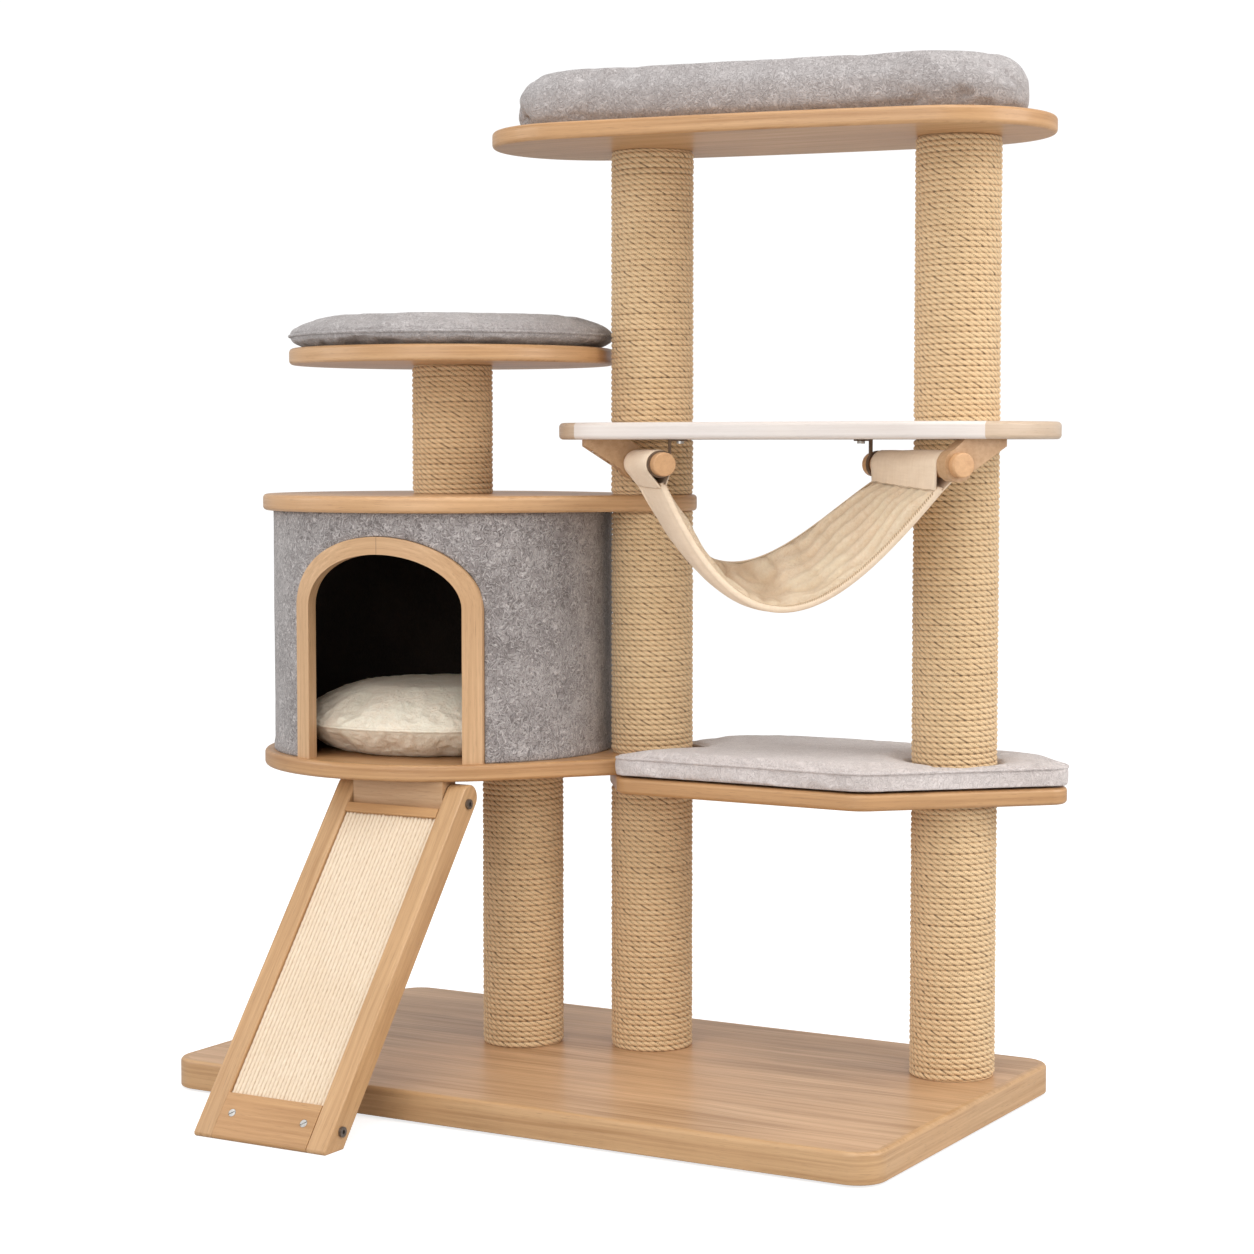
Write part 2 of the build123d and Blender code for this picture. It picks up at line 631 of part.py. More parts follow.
# ---------------------------------------------------------------- ramp
TILT_SIN = math.sin(math.radians(RAMP_TILT))
TILT_COS = math.cos(math.radians(RAMP_TILT))
RAMP = Plane(origin=(RAMP_X, PIVOT_Y, PIVOT_Z), x_dir=(1, 0, 0), z_dir=(0, -TILT_SIN, TILT_COS))
INNER = RAMP_W / 2 - RAIL_W
TOE_Y = -500.0
MAT_LOW = -404.0
MAT_HIGH = -30.0
BOLT_LOW = -425.0
RAIL_END = 8.0
RAMP_LEVELS = ((3.0, 9.0), (9.0, 13.0))
FACE_SCREWS = ((-50.0, -428.0), (50.0, -428.0))
FACE_HEAD_T = 2.8
FACE_SHANK_R = 2.0
FACE_SHANK_END = 4.0
SLOT_W = 1.2
PIVOT_R = 4.0
SIDE_BOLT_R = 3.0
BOLT_HEAD_R = 6.0
BOLT_HEAD_T = 3.0
SOCKET_R = 2.6
SOCKET_D = 1.8


def ramp_box(x0, x1, y0, y1, z0, z1, mode=Mode.ADD):
    """Box given in the sloping frame of the ramp."""
    with Locations(RAMP * Location(((x0 + x1) / 2, (y0 + y1) / 2, (z0 + z1) / 2))):
        Box(x1 - x0, y1 - y0, z1 - z0, mode=mode)


def cross_pin(x0, x1, y, radius, mode=Mode.ADD):
    """Round pin lying across the ramp between two x values."""
    with Locations(RAMP * Location(((x0 + x1) / 2, y, 0), (0, 90, 0))):
        Cylinder(radius, abs(x1 - x0), mode=mode)


def face_pin(x, y, z0, z1, radius, mode=Mode.ADD):
    """Round pin square to the ramp face."""
    with Locations(RAMP * Location((x, y, (z0 + z1) / 2))):
        Cylinder(radius, z1 - z0, mode=mode)


def trim_at_floor():
    """Cut the foot of the ramp flat where it stands on the floor."""
    with Locations((RAMP_X, PIVOT_Y + 0.5 * TOE_Y, 0)):
        Box(400, 600, 200, align=HIGH, mode=Mode.SUBTRACT)


for name, sx in (("ramp_rail_left", -1), ("ramp_rail_right", 1)):
    outer = sx * RAMP_W / 2
    inner = sx * INNER
    with BuildPart() as rail:
        ramp_box(min(outer, inner), max(outer, inner), TOE_Y, RAIL_END, -RAIL_D / 2, RAIL_D / 2)
        cross_pin(outer, inner, RAIL_END, RAIL_D / 2)
        trim_at_floor()
        fillet(rail.edges().filter_by(Axis.X).sort_by(Axis.Y)[0], 4)
        fillet(rail.edges().filter_by(lambda e: e.length > 300), 2)
        cross_pin(outer, inner, 0, PIVOT_R + 0.1, Mode.SUBTRACT)
        cross_pin(outer, inner, BOLT_LOW, SIDE_BOLT_R + 0.1, Mode.SUBTRACT)
    rail.part.label = name
    export_step(rail.part, "parts/" + name + ".step")

with BuildPart() as ramp_top_rail:
    ramp_box(-INNER, INNER, MAT_HIGH, -18, -RAIL_D / 2, RAIL_D / 2)
ramp_top_rail.part.label = "ramp_top_rail"
export_step(ramp_top_rail.part, "parts/ramp_top_rail.step")

with BuildPart() as ramp_bottom_rail:
    ramp_box(-INNER, INNER, TOE_Y, MAT_LOW, -RAIL_D / 2, RAIL_D / 2)
    trim_at_floor()
    fillet(ramp_bottom_rail.edges().filter_by(Axis.X).sort_by(Axis.Y)[0], 4)
    cross_pin(-INNER, -INNER + 30, BOLT_LOW, SIDE_BOLT_R + 0.1, Mode.SUBTRACT)
    cross_pin(INNER - 30, INNER, BOLT_LOW, SIDE_BOLT_R + 0.1, Mode.SUBTRACT)
    for sx, sy in FACE_SCREWS:
        face_pin(sx, sy, FACE_SHANK_END - 0.5, RAIL_D / 2, FACE_SHANK_R + 0.1, Mode.SUBTRACT)
        face_pin(sx, sy, RAIL_D / 2 - 3, RAIL_D / 2, SCREW_HEAD_R + 0.3, Mode.SUBTRACT)
ramp_bottom_rail.part.label = "ramp_bottom_rail"
export_step(ramp_bottom_rail.part, "parts/ramp_bottom_rail.step")

for name, (z0, z1) in zip(("ramp_backing_panel", "ramp_mat"), RAMP_LEVELS):
    with BuildPart() as sheet:
        ramp_box(-INNER, INNER, MAT_LOW, MAT_HIGH, z0, z1)
    sheet.part.label = name
    export_step(sheet.part, "parts/" + name + ".step")

BLOCK_HALF = INNER - 1.0
BLOCK_D = 28.0


def side_bolt(sx, y, tip, radius):
    """Bolt from the outer face of one rail inwards, with a socket in its head."""
    head = RAMP_W / 2 + BOLT_HEAD_T
    cross_pin(sx * RAMP_W / 2, sx * head, y, BOLT_HEAD_R)
    cross_pin(sx * tip, sx * RAMP_W / 2, y, radius)
    with BuildSketch(RAMP * Location((sx * head, y, 0), (0, sx * 90, 0)), mode=Mode.PRIVATE) as hexagon:
        RegularPolygon(SOCKET_R, 6)
    extrude(hexagon.sketch, amount=-SOCKET_D, mode=Mode.SUBTRACT)


with BuildPart() as ramp_pivot_bolts:
    for sx in (-1, 1):
        side_bolt(sx, 0, BLOCK_HALF - 18, PIVOT_R)
ramp_pivot_bolts.part.label = "ramp_pivot_bolts"
export_step(ramp_pivot_bolts.part, "parts/ramp_pivot_bolts.step")

with BuildPart() as ramp_side_bolts:
    for sx in (-1, 1):
        side_bolt(sx, BOLT_LOW, INNER - 28, SIDE_BOLT_R)
ramp_side_bolts.part.label = "ramp_side_bolts"
export_step(ramp_side_bolts.part, "parts/ramp_side_bolts.step")

with BuildPart() as ramp_face_screws:
    for sx, sy in FACE_SCREWS:
        face_pin(sx, sy, RAIL_D / 2 - FACE_HEAD_T, RAIL_D / 2, SCREW_HEAD_R)
        face_pin(sx, sy, FACE_SHANK_END, RAIL_D / 2, FACE_SHANK_R)
        with Locations(RAMP * Location((sx, sy, RAIL_D / 2), (0, 0, 35))):
            Box(2 * SCREW_HEAD_R + 1, SLOT_W, 1.6, mode=Mode.SUBTRACT)
ramp_face_screws.part.label = "ramp_face_screws"
export_step(ramp_face_screws.part, "parts/ramp_face_screws.step")

BLOCK_SEAT = PIVOT_Z - BLOCK_D / 2
BLOCK_SCREW_L = 50.0
PIVOT_BORE_L = 20.0
with BuildPart() as ramp_hinge_block:
    with Locations((RAMP_X, PIVOT_Y, BLOCK_SEAT)):
        Box(2 * BLOCK_HALF, BLOCK_D, FLOOR_Z - BLOCK_SEAT, align=LOW)
    fillet(ramp_hinge_block.faces().sort_by(Axis.Z)[0].edges().filter_by(Axis.X), 6)
    cross_pin(-BLOCK_HALF, -BLOCK_HALF + PIVOT_BORE_L, 0, PIVOT_R + 0.3, Mode.SUBTRACT)
    cross_pin(BLOCK_HALF - PIVOT_BORE_L, BLOCK_HALF, 0, PIVOT_R + 0.3, Mode.SUBTRACT)
    for sx in (-1, 1):
        bore(RAMP_X + sx * BLOCK_SCREW_X, PIVOT_Y, BLOCK_SEAT, FLOOR_Z, SCREW_BORE)
        bore(RAMP_X + sx * BLOCK_SCREW_X, PIVOT_Y, BLOCK_SEAT, BLOCK_SEAT + 3.2, SCREW_HEAD_R + 0.5)
ramp_hinge_block.part.label = "ramp_hinge_block"
export_step(ramp_hinge_block.part, "parts/ramp_hinge_block.step")

with BuildPart() as hinge_block_screws:
    for sx in (-1, 1):
        with Locations((RAMP_X + sx * BLOCK_SCREW_X, PIVOT_Y, BLOCK_SEAT)):
            Cylinder(SCREW_HEAD_R, SCREW_HEAD_T, align=LOW)
            Cylinder(SCREW_R, BLOCK_SCREW_L, align=LOW)
hinge_block_screws.part.label = "hinge_block_screws"
export_step(hinge_block_screws.part, "parts/hinge_block_screws.step")
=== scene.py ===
import json
import math

import bmesh
import bpy
import numpy as np
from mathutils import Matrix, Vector, noise

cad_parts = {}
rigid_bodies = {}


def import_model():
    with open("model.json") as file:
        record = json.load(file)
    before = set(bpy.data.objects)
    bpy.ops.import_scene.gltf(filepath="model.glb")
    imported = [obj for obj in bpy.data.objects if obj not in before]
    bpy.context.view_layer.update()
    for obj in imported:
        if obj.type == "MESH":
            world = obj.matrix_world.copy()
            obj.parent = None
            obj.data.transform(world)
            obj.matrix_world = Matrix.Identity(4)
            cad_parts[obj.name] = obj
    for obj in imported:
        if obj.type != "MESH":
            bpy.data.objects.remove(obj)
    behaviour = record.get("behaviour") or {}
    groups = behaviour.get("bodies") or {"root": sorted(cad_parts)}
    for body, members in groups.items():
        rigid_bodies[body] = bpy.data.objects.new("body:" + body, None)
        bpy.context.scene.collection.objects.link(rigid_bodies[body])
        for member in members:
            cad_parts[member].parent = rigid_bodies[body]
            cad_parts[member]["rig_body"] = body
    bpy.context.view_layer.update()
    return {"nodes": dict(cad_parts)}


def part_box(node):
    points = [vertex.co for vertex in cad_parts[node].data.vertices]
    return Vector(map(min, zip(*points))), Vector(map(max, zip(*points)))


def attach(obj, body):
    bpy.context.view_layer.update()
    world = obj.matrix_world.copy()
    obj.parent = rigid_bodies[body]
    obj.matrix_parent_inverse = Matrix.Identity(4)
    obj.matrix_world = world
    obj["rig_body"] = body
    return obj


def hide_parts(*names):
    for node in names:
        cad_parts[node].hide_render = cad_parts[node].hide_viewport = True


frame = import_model()

# ---------- places in the part, in metres
POSTS = {
    "post_a": (-0.1496, 0.039),
    "post_b": (0.0, 0.101),
    "post_c": (0.3896, 0.1347),
    "post_perch": (-0.252, 0.038),
}
HOUSE = (-0.262, 0.032)
DOOR_TURN = math.radians(12)
DOOR_HALF, DOOR_RISE, DOOR_SPRING, TRIM_W = 0.099, 0.065, 0.184, 0.021
DOWEL_Z = 0.760
RAMP_AT = Vector((-0.206, -0.140, 0.358))
RAMP_TILT = math.radians(52.5)
RAMP_UP = Vector((0, math.cos(RAMP_TILT), math.sin(RAMP_TILT)))
RAMP_OUT = Vector((0, -math.sin(RAMP_TILT), math.cos(RAMP_TILT)))


# ---------- node materials
class Shader:
    """A node material, built line by line."""

    def __init__(self, name, **values):
        self.mat = bpy.data.materials.new(name)
        self.mat.use_nodes = True
        self.tree = self.mat.node_tree
        self.bsdf = self.tree.nodes["Principled BSDF"]
        for key, value in values.items():
            self.bsdf.inputs[key.replace("_", " ")].default_value = value

    def node(self, kind, inputs=(), **props):
        made = self.tree.nodes.new("ShaderNode" + kind)
        for key, value in props.items():
            setattr(made, key, value)
        for key, value in dict(inputs).items():
            if isinstance(value, bpy.types.NodeSocket):
                self.tree.links.new(value, made.inputs[key])
            else:
                made.inputs[key].default_value = value
        return made

    def set(self, socket, value):
        self.tree.links.new(value, self.bsdf.inputs[socket])

    def at(self):
        return self.node("TexCoord").outputs["Object"]

    def math(self, op, a, b=0.0, c=0.0, clamp=False):
        return self.node("Math", {0: a, 1: b, 2: c}, operation=op, use_clamp=clamp).outputs[0]

    def times(self, a, b):
        return self.math("MULTIPLY", a, b)

    def dot(self, a, b):
        return self.node("VectorMath", {0: a, 1: b}, operation="DOT_PRODUCT").outputs["Value"]

    def vec(self, op, a, b):
        return self.node("VectorMath", {0: a, 1: b}, operation=op).outputs[0]

    def scaled(self, a, times):
        return self.vec("MULTIPLY", a, times)

    def join(self, x, y, z):
        return self.node("CombineXYZ", {0: x, 1: y, 2: z}).outputs[0]

    def noise(self, at, scale=1.0, detail=2.0, rough=0.5, out="Fac"):
        made = self.node(
            "TexNoise", {"Vector": at, "Scale": scale, "Detail": detail, "Roughness": rough}
        )
        return made.outputs[out]

    def spread(self, value, low, high, to_low=0.0, to_high=1.0):
        made = self.node(
            "MapRange", {0: value, 1: low, 2: high, 3: to_low, 4: to_high}, clamp=True
        )
        return made.outputs[0]

    def mix(self, fac, a, b, blend="MIX"):
        made = self.node("Mix", {}, data_type="RGBA", blend_type=blend)
        for index, value in ((0, fac), (6, a), (7, b)):
            if isinstance(value, bpy.types.NodeSocket):
                self.tree.links.new(value, made.inputs[index])
            elif index:
                made.inputs[index].default_value = (*value, 1.0)
            else:
                made.inputs[index].default_value = value
        return made.outputs[2]

    def bump(self, height, depth, strength=1.0):
        made = self.node("Bump", {"Height": height, "Distance": depth, "Strength": strength})
        self.set("Normal", made.outputs[0])


def wood(name, pale, dark, along="x", pores=0.35, rough=0.42, seed=0.0, banded=True, figure=1.0):
    """Fine-grained wood. Board rims get streaks that run round them, as edge banding has."""
    s = Shader(name, Coat_Weight=0.22, Coat_Roughness=0.22, Specular_IOR_Level=0.5)
    at = s.vec("ADD", s.at(), (seed, seed * 1.7, seed * 0.6))
    axes = {
        "x": ((1, 0, 0), (0, 1, 0), (0, 0, 1)),
        "y": ((0, 1, 0), (1, 0, 0), (0, 0, 1)),
        "z": ((0, 0, 1), (1, 0, 0), (0, 1, 0)),
        "ramp": (tuple(RAMP_UP), (1, 0, 0), tuple(RAMP_OUT)),
    }[along]
    u, v, w = (s.dot(at, axis) for axis in axes)
    sway = s.noise(s.join(s.times(u, 3), s.times(v, 14), w), 1, 2)
    v = s.math("ADD", v, s.times(s.math("SUBTRACT", sway, 0.5), 0.03))

    def layer(along_scale, across_scale, detail, rough_scale=0.6):
        place = s.join(
            s.times(u, along_scale),
            s.times(v, across_scale),
            s.times(w, across_scale),
        )
        return s.noise(place, 1, detail, rough_scale)

    rings, streak, pore = layer(1.5, 34, 3), layer(5, 210, 4, 0.7), layer(40, 1300, 1)
    if banded:
        normal = s.node("NewGeometry").outputs["Normal"]
        up = s.math("ABSOLUTE", s.node("SeparateXYZ", {0: normal}).outputs[2])
        is_flat = s.spread(up, 0.45, 0.75)
        rim_rings = s.noise(s.scaled(at, (2.5, 2.5, 70)), 1, 3)
        rim_streak = s.noise(s.scaled(at, (5, 5, 300)), 1, 4, 0.6)
        rim_pore = s.noise(s.scaled(at, (60, 60, 1500)), 1, 1)
        rings = s.node("Mix", {0: is_flat, 2: rim_rings, 3: rings}).outputs[0]
        streak = s.node("Mix", {0: is_flat, 2: rim_streak, 3: streak}).outputs[0]
        pore = s.node("Mix", {0: is_flat, 2: rim_pore, 3: pore}).outputs[0]
    rings_in = s.spread(rings, 0.36, 0.66)
    streak_in = s.spread(streak, 0.3, 0.72)
    tone = s.math(
        "ADD", s.times(rings_in, 0.42 * figure), s.times(streak_in, 0.62)
    )
    cloud = s.noise(at, 5, 2)
    colour = s.mix(tone, pale, dark)
    warm = tuple(c * k for c, k in zip(pale, (1.04, 0.97, 0.9)))
    colour = s.mix(s.spread(cloud, 0.4, 0.7, 0, 0.35), colour, warm)
    holes = s.spread(pore, 0.62, 0.74, 0, pores)
    deep = tuple(c * 0.52 for c in dark)
    s.set("Base Color", s.mix(holes, colour, deep))
    s.set("Roughness", s.spread(streak, 0.2, 0.8, rough - 0.06, rough + 0.1))
    s.bump(s.math("SUBTRACT", s.times(streak, 0.35), holes), 0.0002, 0.5)
    return s.mat


def trim_wood(name, pale, dark):
    """Bent wood whose grain follows the arch of the door."""
    s = Shader(name, Coat_Weight=0.12, Coat_Roughness=0.3, Specular_IOR_Level=0.45)
    at = s.vec("SUBTRACT", s.at(), (HOUSE[0], HOUSE[1], 0.404 + DOOR_SPRING))
    across = s.dot(at, (math.cos(DOOR_TURN), math.sin(DOOR_TURN), 0))
    depth = s.dot(at, (math.sin(DOOR_TURN), -math.cos(DOOR_TURN), 0))
    height = s.node("SeparateXYZ", {0: at}).outputs[2]
    above = s.math("MAXIMUM", height, 0)
    bent = s.times(above, 1.4)
    out = s.math("SQRT", s.math("ADD", s.math("POWER", across, 2), s.math("POWER", bent, 2)))
    place = s.join(
        s.times(out, 300), s.times(height, 5), s.times(depth, 180)
    )
    streak = s.noise(place, 1, 4, 0.62)
    broad = s.noise(s.scaled(at, (4, 4, 4)), 1, 2)
    pore = s.noise(s.vec("MULTIPLY", place, (5, 12, 5)), 1, 1)
    tone = s.spread(streak, 0.3, 0.72, 0, 0.75)
    colour = s.mix(tone, pale, dark)
    colour = s.mix(s.spread(broad, 0.4, 0.65, 0, 0.3), colour, dark)
    colour = s.mix(s.spread(pore, 0.62, 0.72, 0, 0.3), colour, tuple(c * 0.5 for c in dark))
    near = s.spread(s.math("ABSOLUTE", across), 0.0002, 0.0005, 1, 0)
    joint = s.times(near, s.spread(height, 0.0, 0.002, 0, 0.7))
    s.set("Base Color", s.mix(joint, colour, tuple(c * 0.35 for c in dark)))
    s.set("Roughness", s.spread(streak, 0.2, 0.8, 0.36, 0.5))
    s.bump(s.math("SUBTRACT", s.times(streak, 0.3), joint), 0.0003, 0.5)
    return s.mat


def rope_fibre(name, pale, dark, deep):
    """Twisted natural fibre, with painted shade in the valleys between strands. Reads the winding's own
    along and round coordinates.
    """
    s = Shader(name, Roughness=0.85, Sheen_Weight=0.15, Sheen_Roughness=0.6)
    uv = s.node("UVMap", uv_map="Rope").outputs[0]
    split = s.node("SeparateXYZ", {0: uv})
    length, strand = split.outputs[0], split.outputs[1]
    valley = s.node("Attribute", attribute_name="valley").outputs["Fac"]
    fibre = s.noise(
        s.join(s.times(length, 160), s.times(strand, 42), valley), 1, 3, 0.65
    )
    hair = s.noise(
        s.join(s.times(length, 420), s.times(strand, 160), 0), 1, 2, 0.6
    )
    batch = s.noise(s.join(s.times(length, 1.7), 3.1, 0), 1, 3, 0.6)
    patch = s.noise(s.at(), 22, 2)
    colour = s.mix(s.spread(fibre, 0.34, 0.8), pale, dark)
    colour = s.mix(s.spread(batch, 0.35, 0.68, 0, 0.3), colour, tuple(c * 0.9 for c in dark))
    colour = s.mix(s.spread(patch, 0.4, 0.66, 0, 0.25), colour, pale)
    colour = s.mix(s.spread(hair, 0.6, 0.75, 0, 0.3), colour, tuple(min(1, c * 1.3) for c in pale))
    # Painted shade: the valleys between strands are mixed almost fully towards a near-black brown.
    valley_shade = s.math("POWER", s.spread(valley, 0.30, 0.84), 1.15)
    s.set("Base Color", s.mix(s.times(valley_shade, 0.97), colour, deep))
    s.bump(s.math("ADD", s.times(fibre, 0.7), s.times(hair, 0.3)), 0.0006, 0.7)
    return s.mat


def felt(name, pale, mid, dark, seed=0.0, fuzz=1.0):
    """Wool felt: short curled hairs over a mottled ground."""
    s = Shader(name, Roughness=0.95, Sheen_Weight=0.35, Sheen_Roughness=0.5, Specular_IOR_Level=0.2)
    at = s.vec("ADD", s.at(), (seed, seed, seed))
    swirl = s.vec("SUBTRACT", s.noise(at, 60, 2, out="Color"), (0.5, 0.5, 0.5))
    curled = s.vec("ADD", at, s.scaled(swirl, (0.028, 0.028, 0.028)))

    def hairs(where, scale, thin):
        value = s.noise(where, scale, 1.5, 0.45)
        ridge = s.math("ABSOLUTE", s.math("SUBTRACT", value, 0.5))
        return s.spread(ridge, 0.0, thin, 1, 0)

    light = hairs(curled, 165, 0.05)
    shade = hairs(s.vec("ADD", curled, (3.3, 1.2, 0.4)), 185, 0.06)
    fine = s.noise(curled, 900, 2, 0.6)
    cloud = s.noise(at, 34, 3, 0.6)
    broad = s.noise(at, 6, 2)
    colour = s.mix(s.spread(cloud, 0.34, 0.68), mid, tuple(0.5 * (a + b) for a, b in zip(mid, pale)))
    colour = s.mix(s.spread(broad, 0.38, 0.68, 0, 0.35), colour, dark)
    colour = s.mix(s.times(shade, 0.8 * fuzz), colour, dark)
    colour = s.mix(s.times(light, 0.85 * fuzz), colour, pale)
    colour = s.mix(s.spread(fine, 0.35, 0.7, 0, 0.35), colour, tuple(c * 0.75 for c in dark))
    s.set("Base Color", colour)
    height = s.math("ADD", s.times(light, 0.6), s.times(shade, -0.5))
    s.bump(s.math("ADD", height, s.times(fine, 0.5)), 0.0010, 0.75)
    return s.mat


def plush(name, pale, dark, pile=1.0, seed=0.0):
    """Short soft pile, brushed this way and that, with painted shade in the creases that a layer on the
    mesh marks.
    """
    s = Shader(name, Roughness=0.9, Sheen_Weight=0.65, Sheen_Roughness=0.45, Specular_IOR_Level=0.2)
    s.bsdf.inputs["Sheen Tint"].default_value = (1.0, 0.86, 0.70, 1.0)
    at = s.vec("ADD", s.at(), (seed, seed, seed))
    brush = s.vec("SUBTRACT", s.noise(at, 24, 2, out="Color"), (0.5, 0.5, 0.5))
    soft = s.vec("ADD", at, s.scaled(brush, (0.02, 0.02, 0.02)))
    tuft = s.noise(soft, 190 / pile, 2, 0.6)
    hair = s.noise(s.scaled(soft, (1, 1, 0.45)), 900 / pile, 3, 0.65)
    swept = s.noise(s.scaled(soft, (1, 1, 0.5)), 26, 2)
    colour = s.mix(s.spread(tuft, 0.40, 0.68, 0, 0.7), pale, dark)
    colour = s.mix(s.spread(swept, 0.42, 0.62, 0, 0.35), colour, tuple(min(1, c * 1.1) for c in pale))
    colour = s.mix(s.spread(hair, 0.52, 0.78, 0, 0.35), colour, tuple(c * 0.76 for c in dark))
    # Painted shade: where the mesh marks a crease, the colour is mixed towards a darker, warmer brown.
    hollow_shade = s.node("Attribute", attribute_name="hollow_shade").outputs["Fac"]
    crease = tuple(c * k for c, k in zip(dark, (0.72, 0.62, 0.50)))
    s.set("Base Color", s.mix(s.times(hollow_shade, 0.75), colour, crease))
    s.bump(s.math("ADD", s.times(tuft, -0.8), s.times(hair, 0.6)), 0.0036, 0.85)
    return s.mat


def cloth(name, pale, dark, count=900.0, uv_map="Weave"):
    """Plain woven cotton, warp over weft, on the piece's own cloth coordinates."""
    s = Shader(name, Roughness=0.88, Sheen_Weight=0.2, Sheen_Roughness=0.5, Specular_IOR_Level=0.25)
    uv = s.node("UVMap", uv_map=uv_map).outputs[0]
    split = s.node("SeparateXYZ", {0: uv})
    warp = s.math("SINE", s.times(split.outputs[0], count * math.pi))
    weft = s.math("SINE", s.times(split.outputs[1], count * math.pi))
    cross = s.times(warp, weft)
    slub = s.noise(s.scaled(uv, (30, 300, 1)), 1, 3, 0.6)
    slub_too = s.noise(s.scaled(uv, (300, 30, 1)), 1, 3, 0.6)
    cloud = s.noise(s.at(), 18, 3, 0.6)
    tone = s.math("ADD", s.spread(slub, 0.35, 0.7, 0, 0.4), s.spread(slub_too, 0.35, 0.7, 0, 0.4))
    colour = s.mix(tone, pale, dark)
    colour = s.mix(s.spread(cloud, 0.4, 0.68, 0, 0.3), colour, tuple(c * 0.9 for c in dark))
    s.set("Base Color", colour)
    s.bump(s.math("ADD", s.times(cross, 0.4), slub), 0.00025, 0.6)
    return s.mat


def sisal_mat(name, pale, dark, deep):
    """Woven mat yarn, with painted shade in the valleys between the ribs."""
    s = Shader(name, Roughness=0.9, Sheen_Weight=0.15, Specular_IOR_Level=0.25)
    hollow_shade = s.node("Attribute", attribute_name="hollow_shade").outputs["Fac"]
    at = s.at()
    u, v = s.dot(at, tuple(RAMP_UP)), s.dot(at, (1, 0, 0))
    fibre = s.noise(s.join(s.times(u, 130), s.times(v, 900), 0), 1, 3, 0.65)
    spot = s.noise(s.join(s.times(u, 90), s.times(v, 190), 0), 1, 1)
    cloud = s.noise(at, 16, 2)
    colour = s.mix(s.spread(fibre, 0.3, 0.72, 0, 0.8), pale, dark)
    colour = s.mix(s.spread(cloud, 0.4, 0.65, 0, 0.3), colour, dark)
    # Painted shade: the valleys between ribs, broken up by spots, are mixed towards a dark brown.
    shade = s.times(s.spread(hollow_shade, 0.35, 1.0), s.spread(spot, 0.35, 0.68, 0.35, 1.0))
    s.set("Base Color", s.mix(shade, colour, deep))
    s.bump(fibre, 0.0005, 0.7)
    return s.mat


def lining(name, tint):
    """Dark brushed lining cloth."""
    s = Shader(name, Roughness=0.95, Sheen_Weight=0.15, Sheen_Roughness=0.6, Specular_IOR_Level=0.15)
    at = s.at()
    weave = s.noise(s.scaled(at, (1, 1, 0.3)), 900, 2, 0.6)
    cloud = s.noise(at, 12, 3)
    colour = s.mix(s.spread(weave, 0.35, 0.7), tint, tuple(c * 0.45 for c in tint))
    s.set("Base Color", s.mix(s.spread(cloud, 0.4, 0.7, 0, 0.4), colour, tuple(c * 1.8 for c in tint)))
    s.bump(weave, 0.0004, 0.6)
    return s.mat


def metal(name, tint, rough, scratch=400.0):
    """Plated steel with fine turning marks and worn patches."""
    s = Shader(name, Metallic=1.0)
    at = s.at()
    marks = s.noise(s.scaled(at, (1, 1, 4)), scratch * 3, 3, 0.7)
    patch = s.noise(at, 160, 2)
    colour = s.mix(s.spread(patch, 0.4, 0.7, 0, 0.5), tint, tuple(c * 0.6 for c in tint))
    s.set("Base Color", colour)
    s.set("Roughness", s.spread(marks, 0.3, 0.7, rough - 0.08, rough + 0.14))
    s.bump(marks, 0.00008, 0.4)
    return s.mat


def rubber(name, tint):
    """Moulded foot pad."""
    s = Shader(name, Roughness=0.8)
    speck = s.noise(s.at(), 700, 2)
    s.set("Base Color", s.mix(s.spread(speck, 0.35, 0.7), tint, tuple(c * 1.7 for c in tint)))
    s.bump(speck, 0.0002, 0.5)
    return s.mat


OAK_PALE, OAK_DARK = (0.66, 0.415, 0.215), (0.39, 0.205, 0.082)
BASE_PALE, BASE_DARK = (0.72, 0.465, 0.27), (0.40, 0.222, 0.105)
mat_board = wood("oak board", (0.605, 0.35, 0.163), (0.355, 0.17, 0.062), seed=1.3)
mat_deck = wood("oak deck", (0.66, 0.39, 0.19), (0.39, 0.193, 0.072), seed=4.1)
mat_roof = wood("oak roof", (0.695, 0.43, 0.225), (0.41, 0.212, 0.086), seed=7.7)
mat_base = wood("oak base", BASE_PALE, BASE_DARK, seed=2.2, banded=False, figure=1.5)
mat_band = wood("oak band", OAK_PALE, OAK_DARK, seed=3.4)
mat_rail = wood("oak rail", OAK_PALE, OAK_DARK, along="ramp", seed=5.2, banded=False)
mat_rail_too = wood("oak rail too", OAK_PALE, OAK_DARK, along="ramp", seed=9.9, banded=False)
mat_cross = wood("oak cross rail", (0.585, 0.335, 0.15), (0.345, 0.166, 0.058), seed=6.6, banded=False)
mat_arm = wood("oak arm", (0.60, 0.385, 0.22), OAK_DARK, seed=8.3, banded=False)
mat_dowel = wood("beech dowel", (0.68, 0.40, 0.20), (0.48, 0.25, 0.11), along="y", seed=0.4, banded=False)
mat_pale_shelf = wood("pale shelf", (0.82, 0.76, 0.72), (0.70, 0.62, 0.57), seed=1.9, pores=0.12)
mat_shelf_end = wood("shelf end", (0.66, 0.52, 0.40), (0.50, 0.35, 0.22), along="y", seed=2.7)
mat_ply = wood("ply panel", (0.55, 0.40, 0.26), (0.42, 0.27, 0.15), along="ramp", banded=False)
mat_plug = wood("plug wood", (0.55, 0.41, 0.27), (0.40, 0.27, 0.16), along="z", banded=False)
mat_wall = wood("wall board", (0.50, 0.38, 0.26), (0.36, 0.25, 0.15), banded=False)
mat_tube = wood("tube board", (0.42, 0.30, 0.19), (0.32, 0.21, 0.12), along="z", banded=False, pores=0.1)
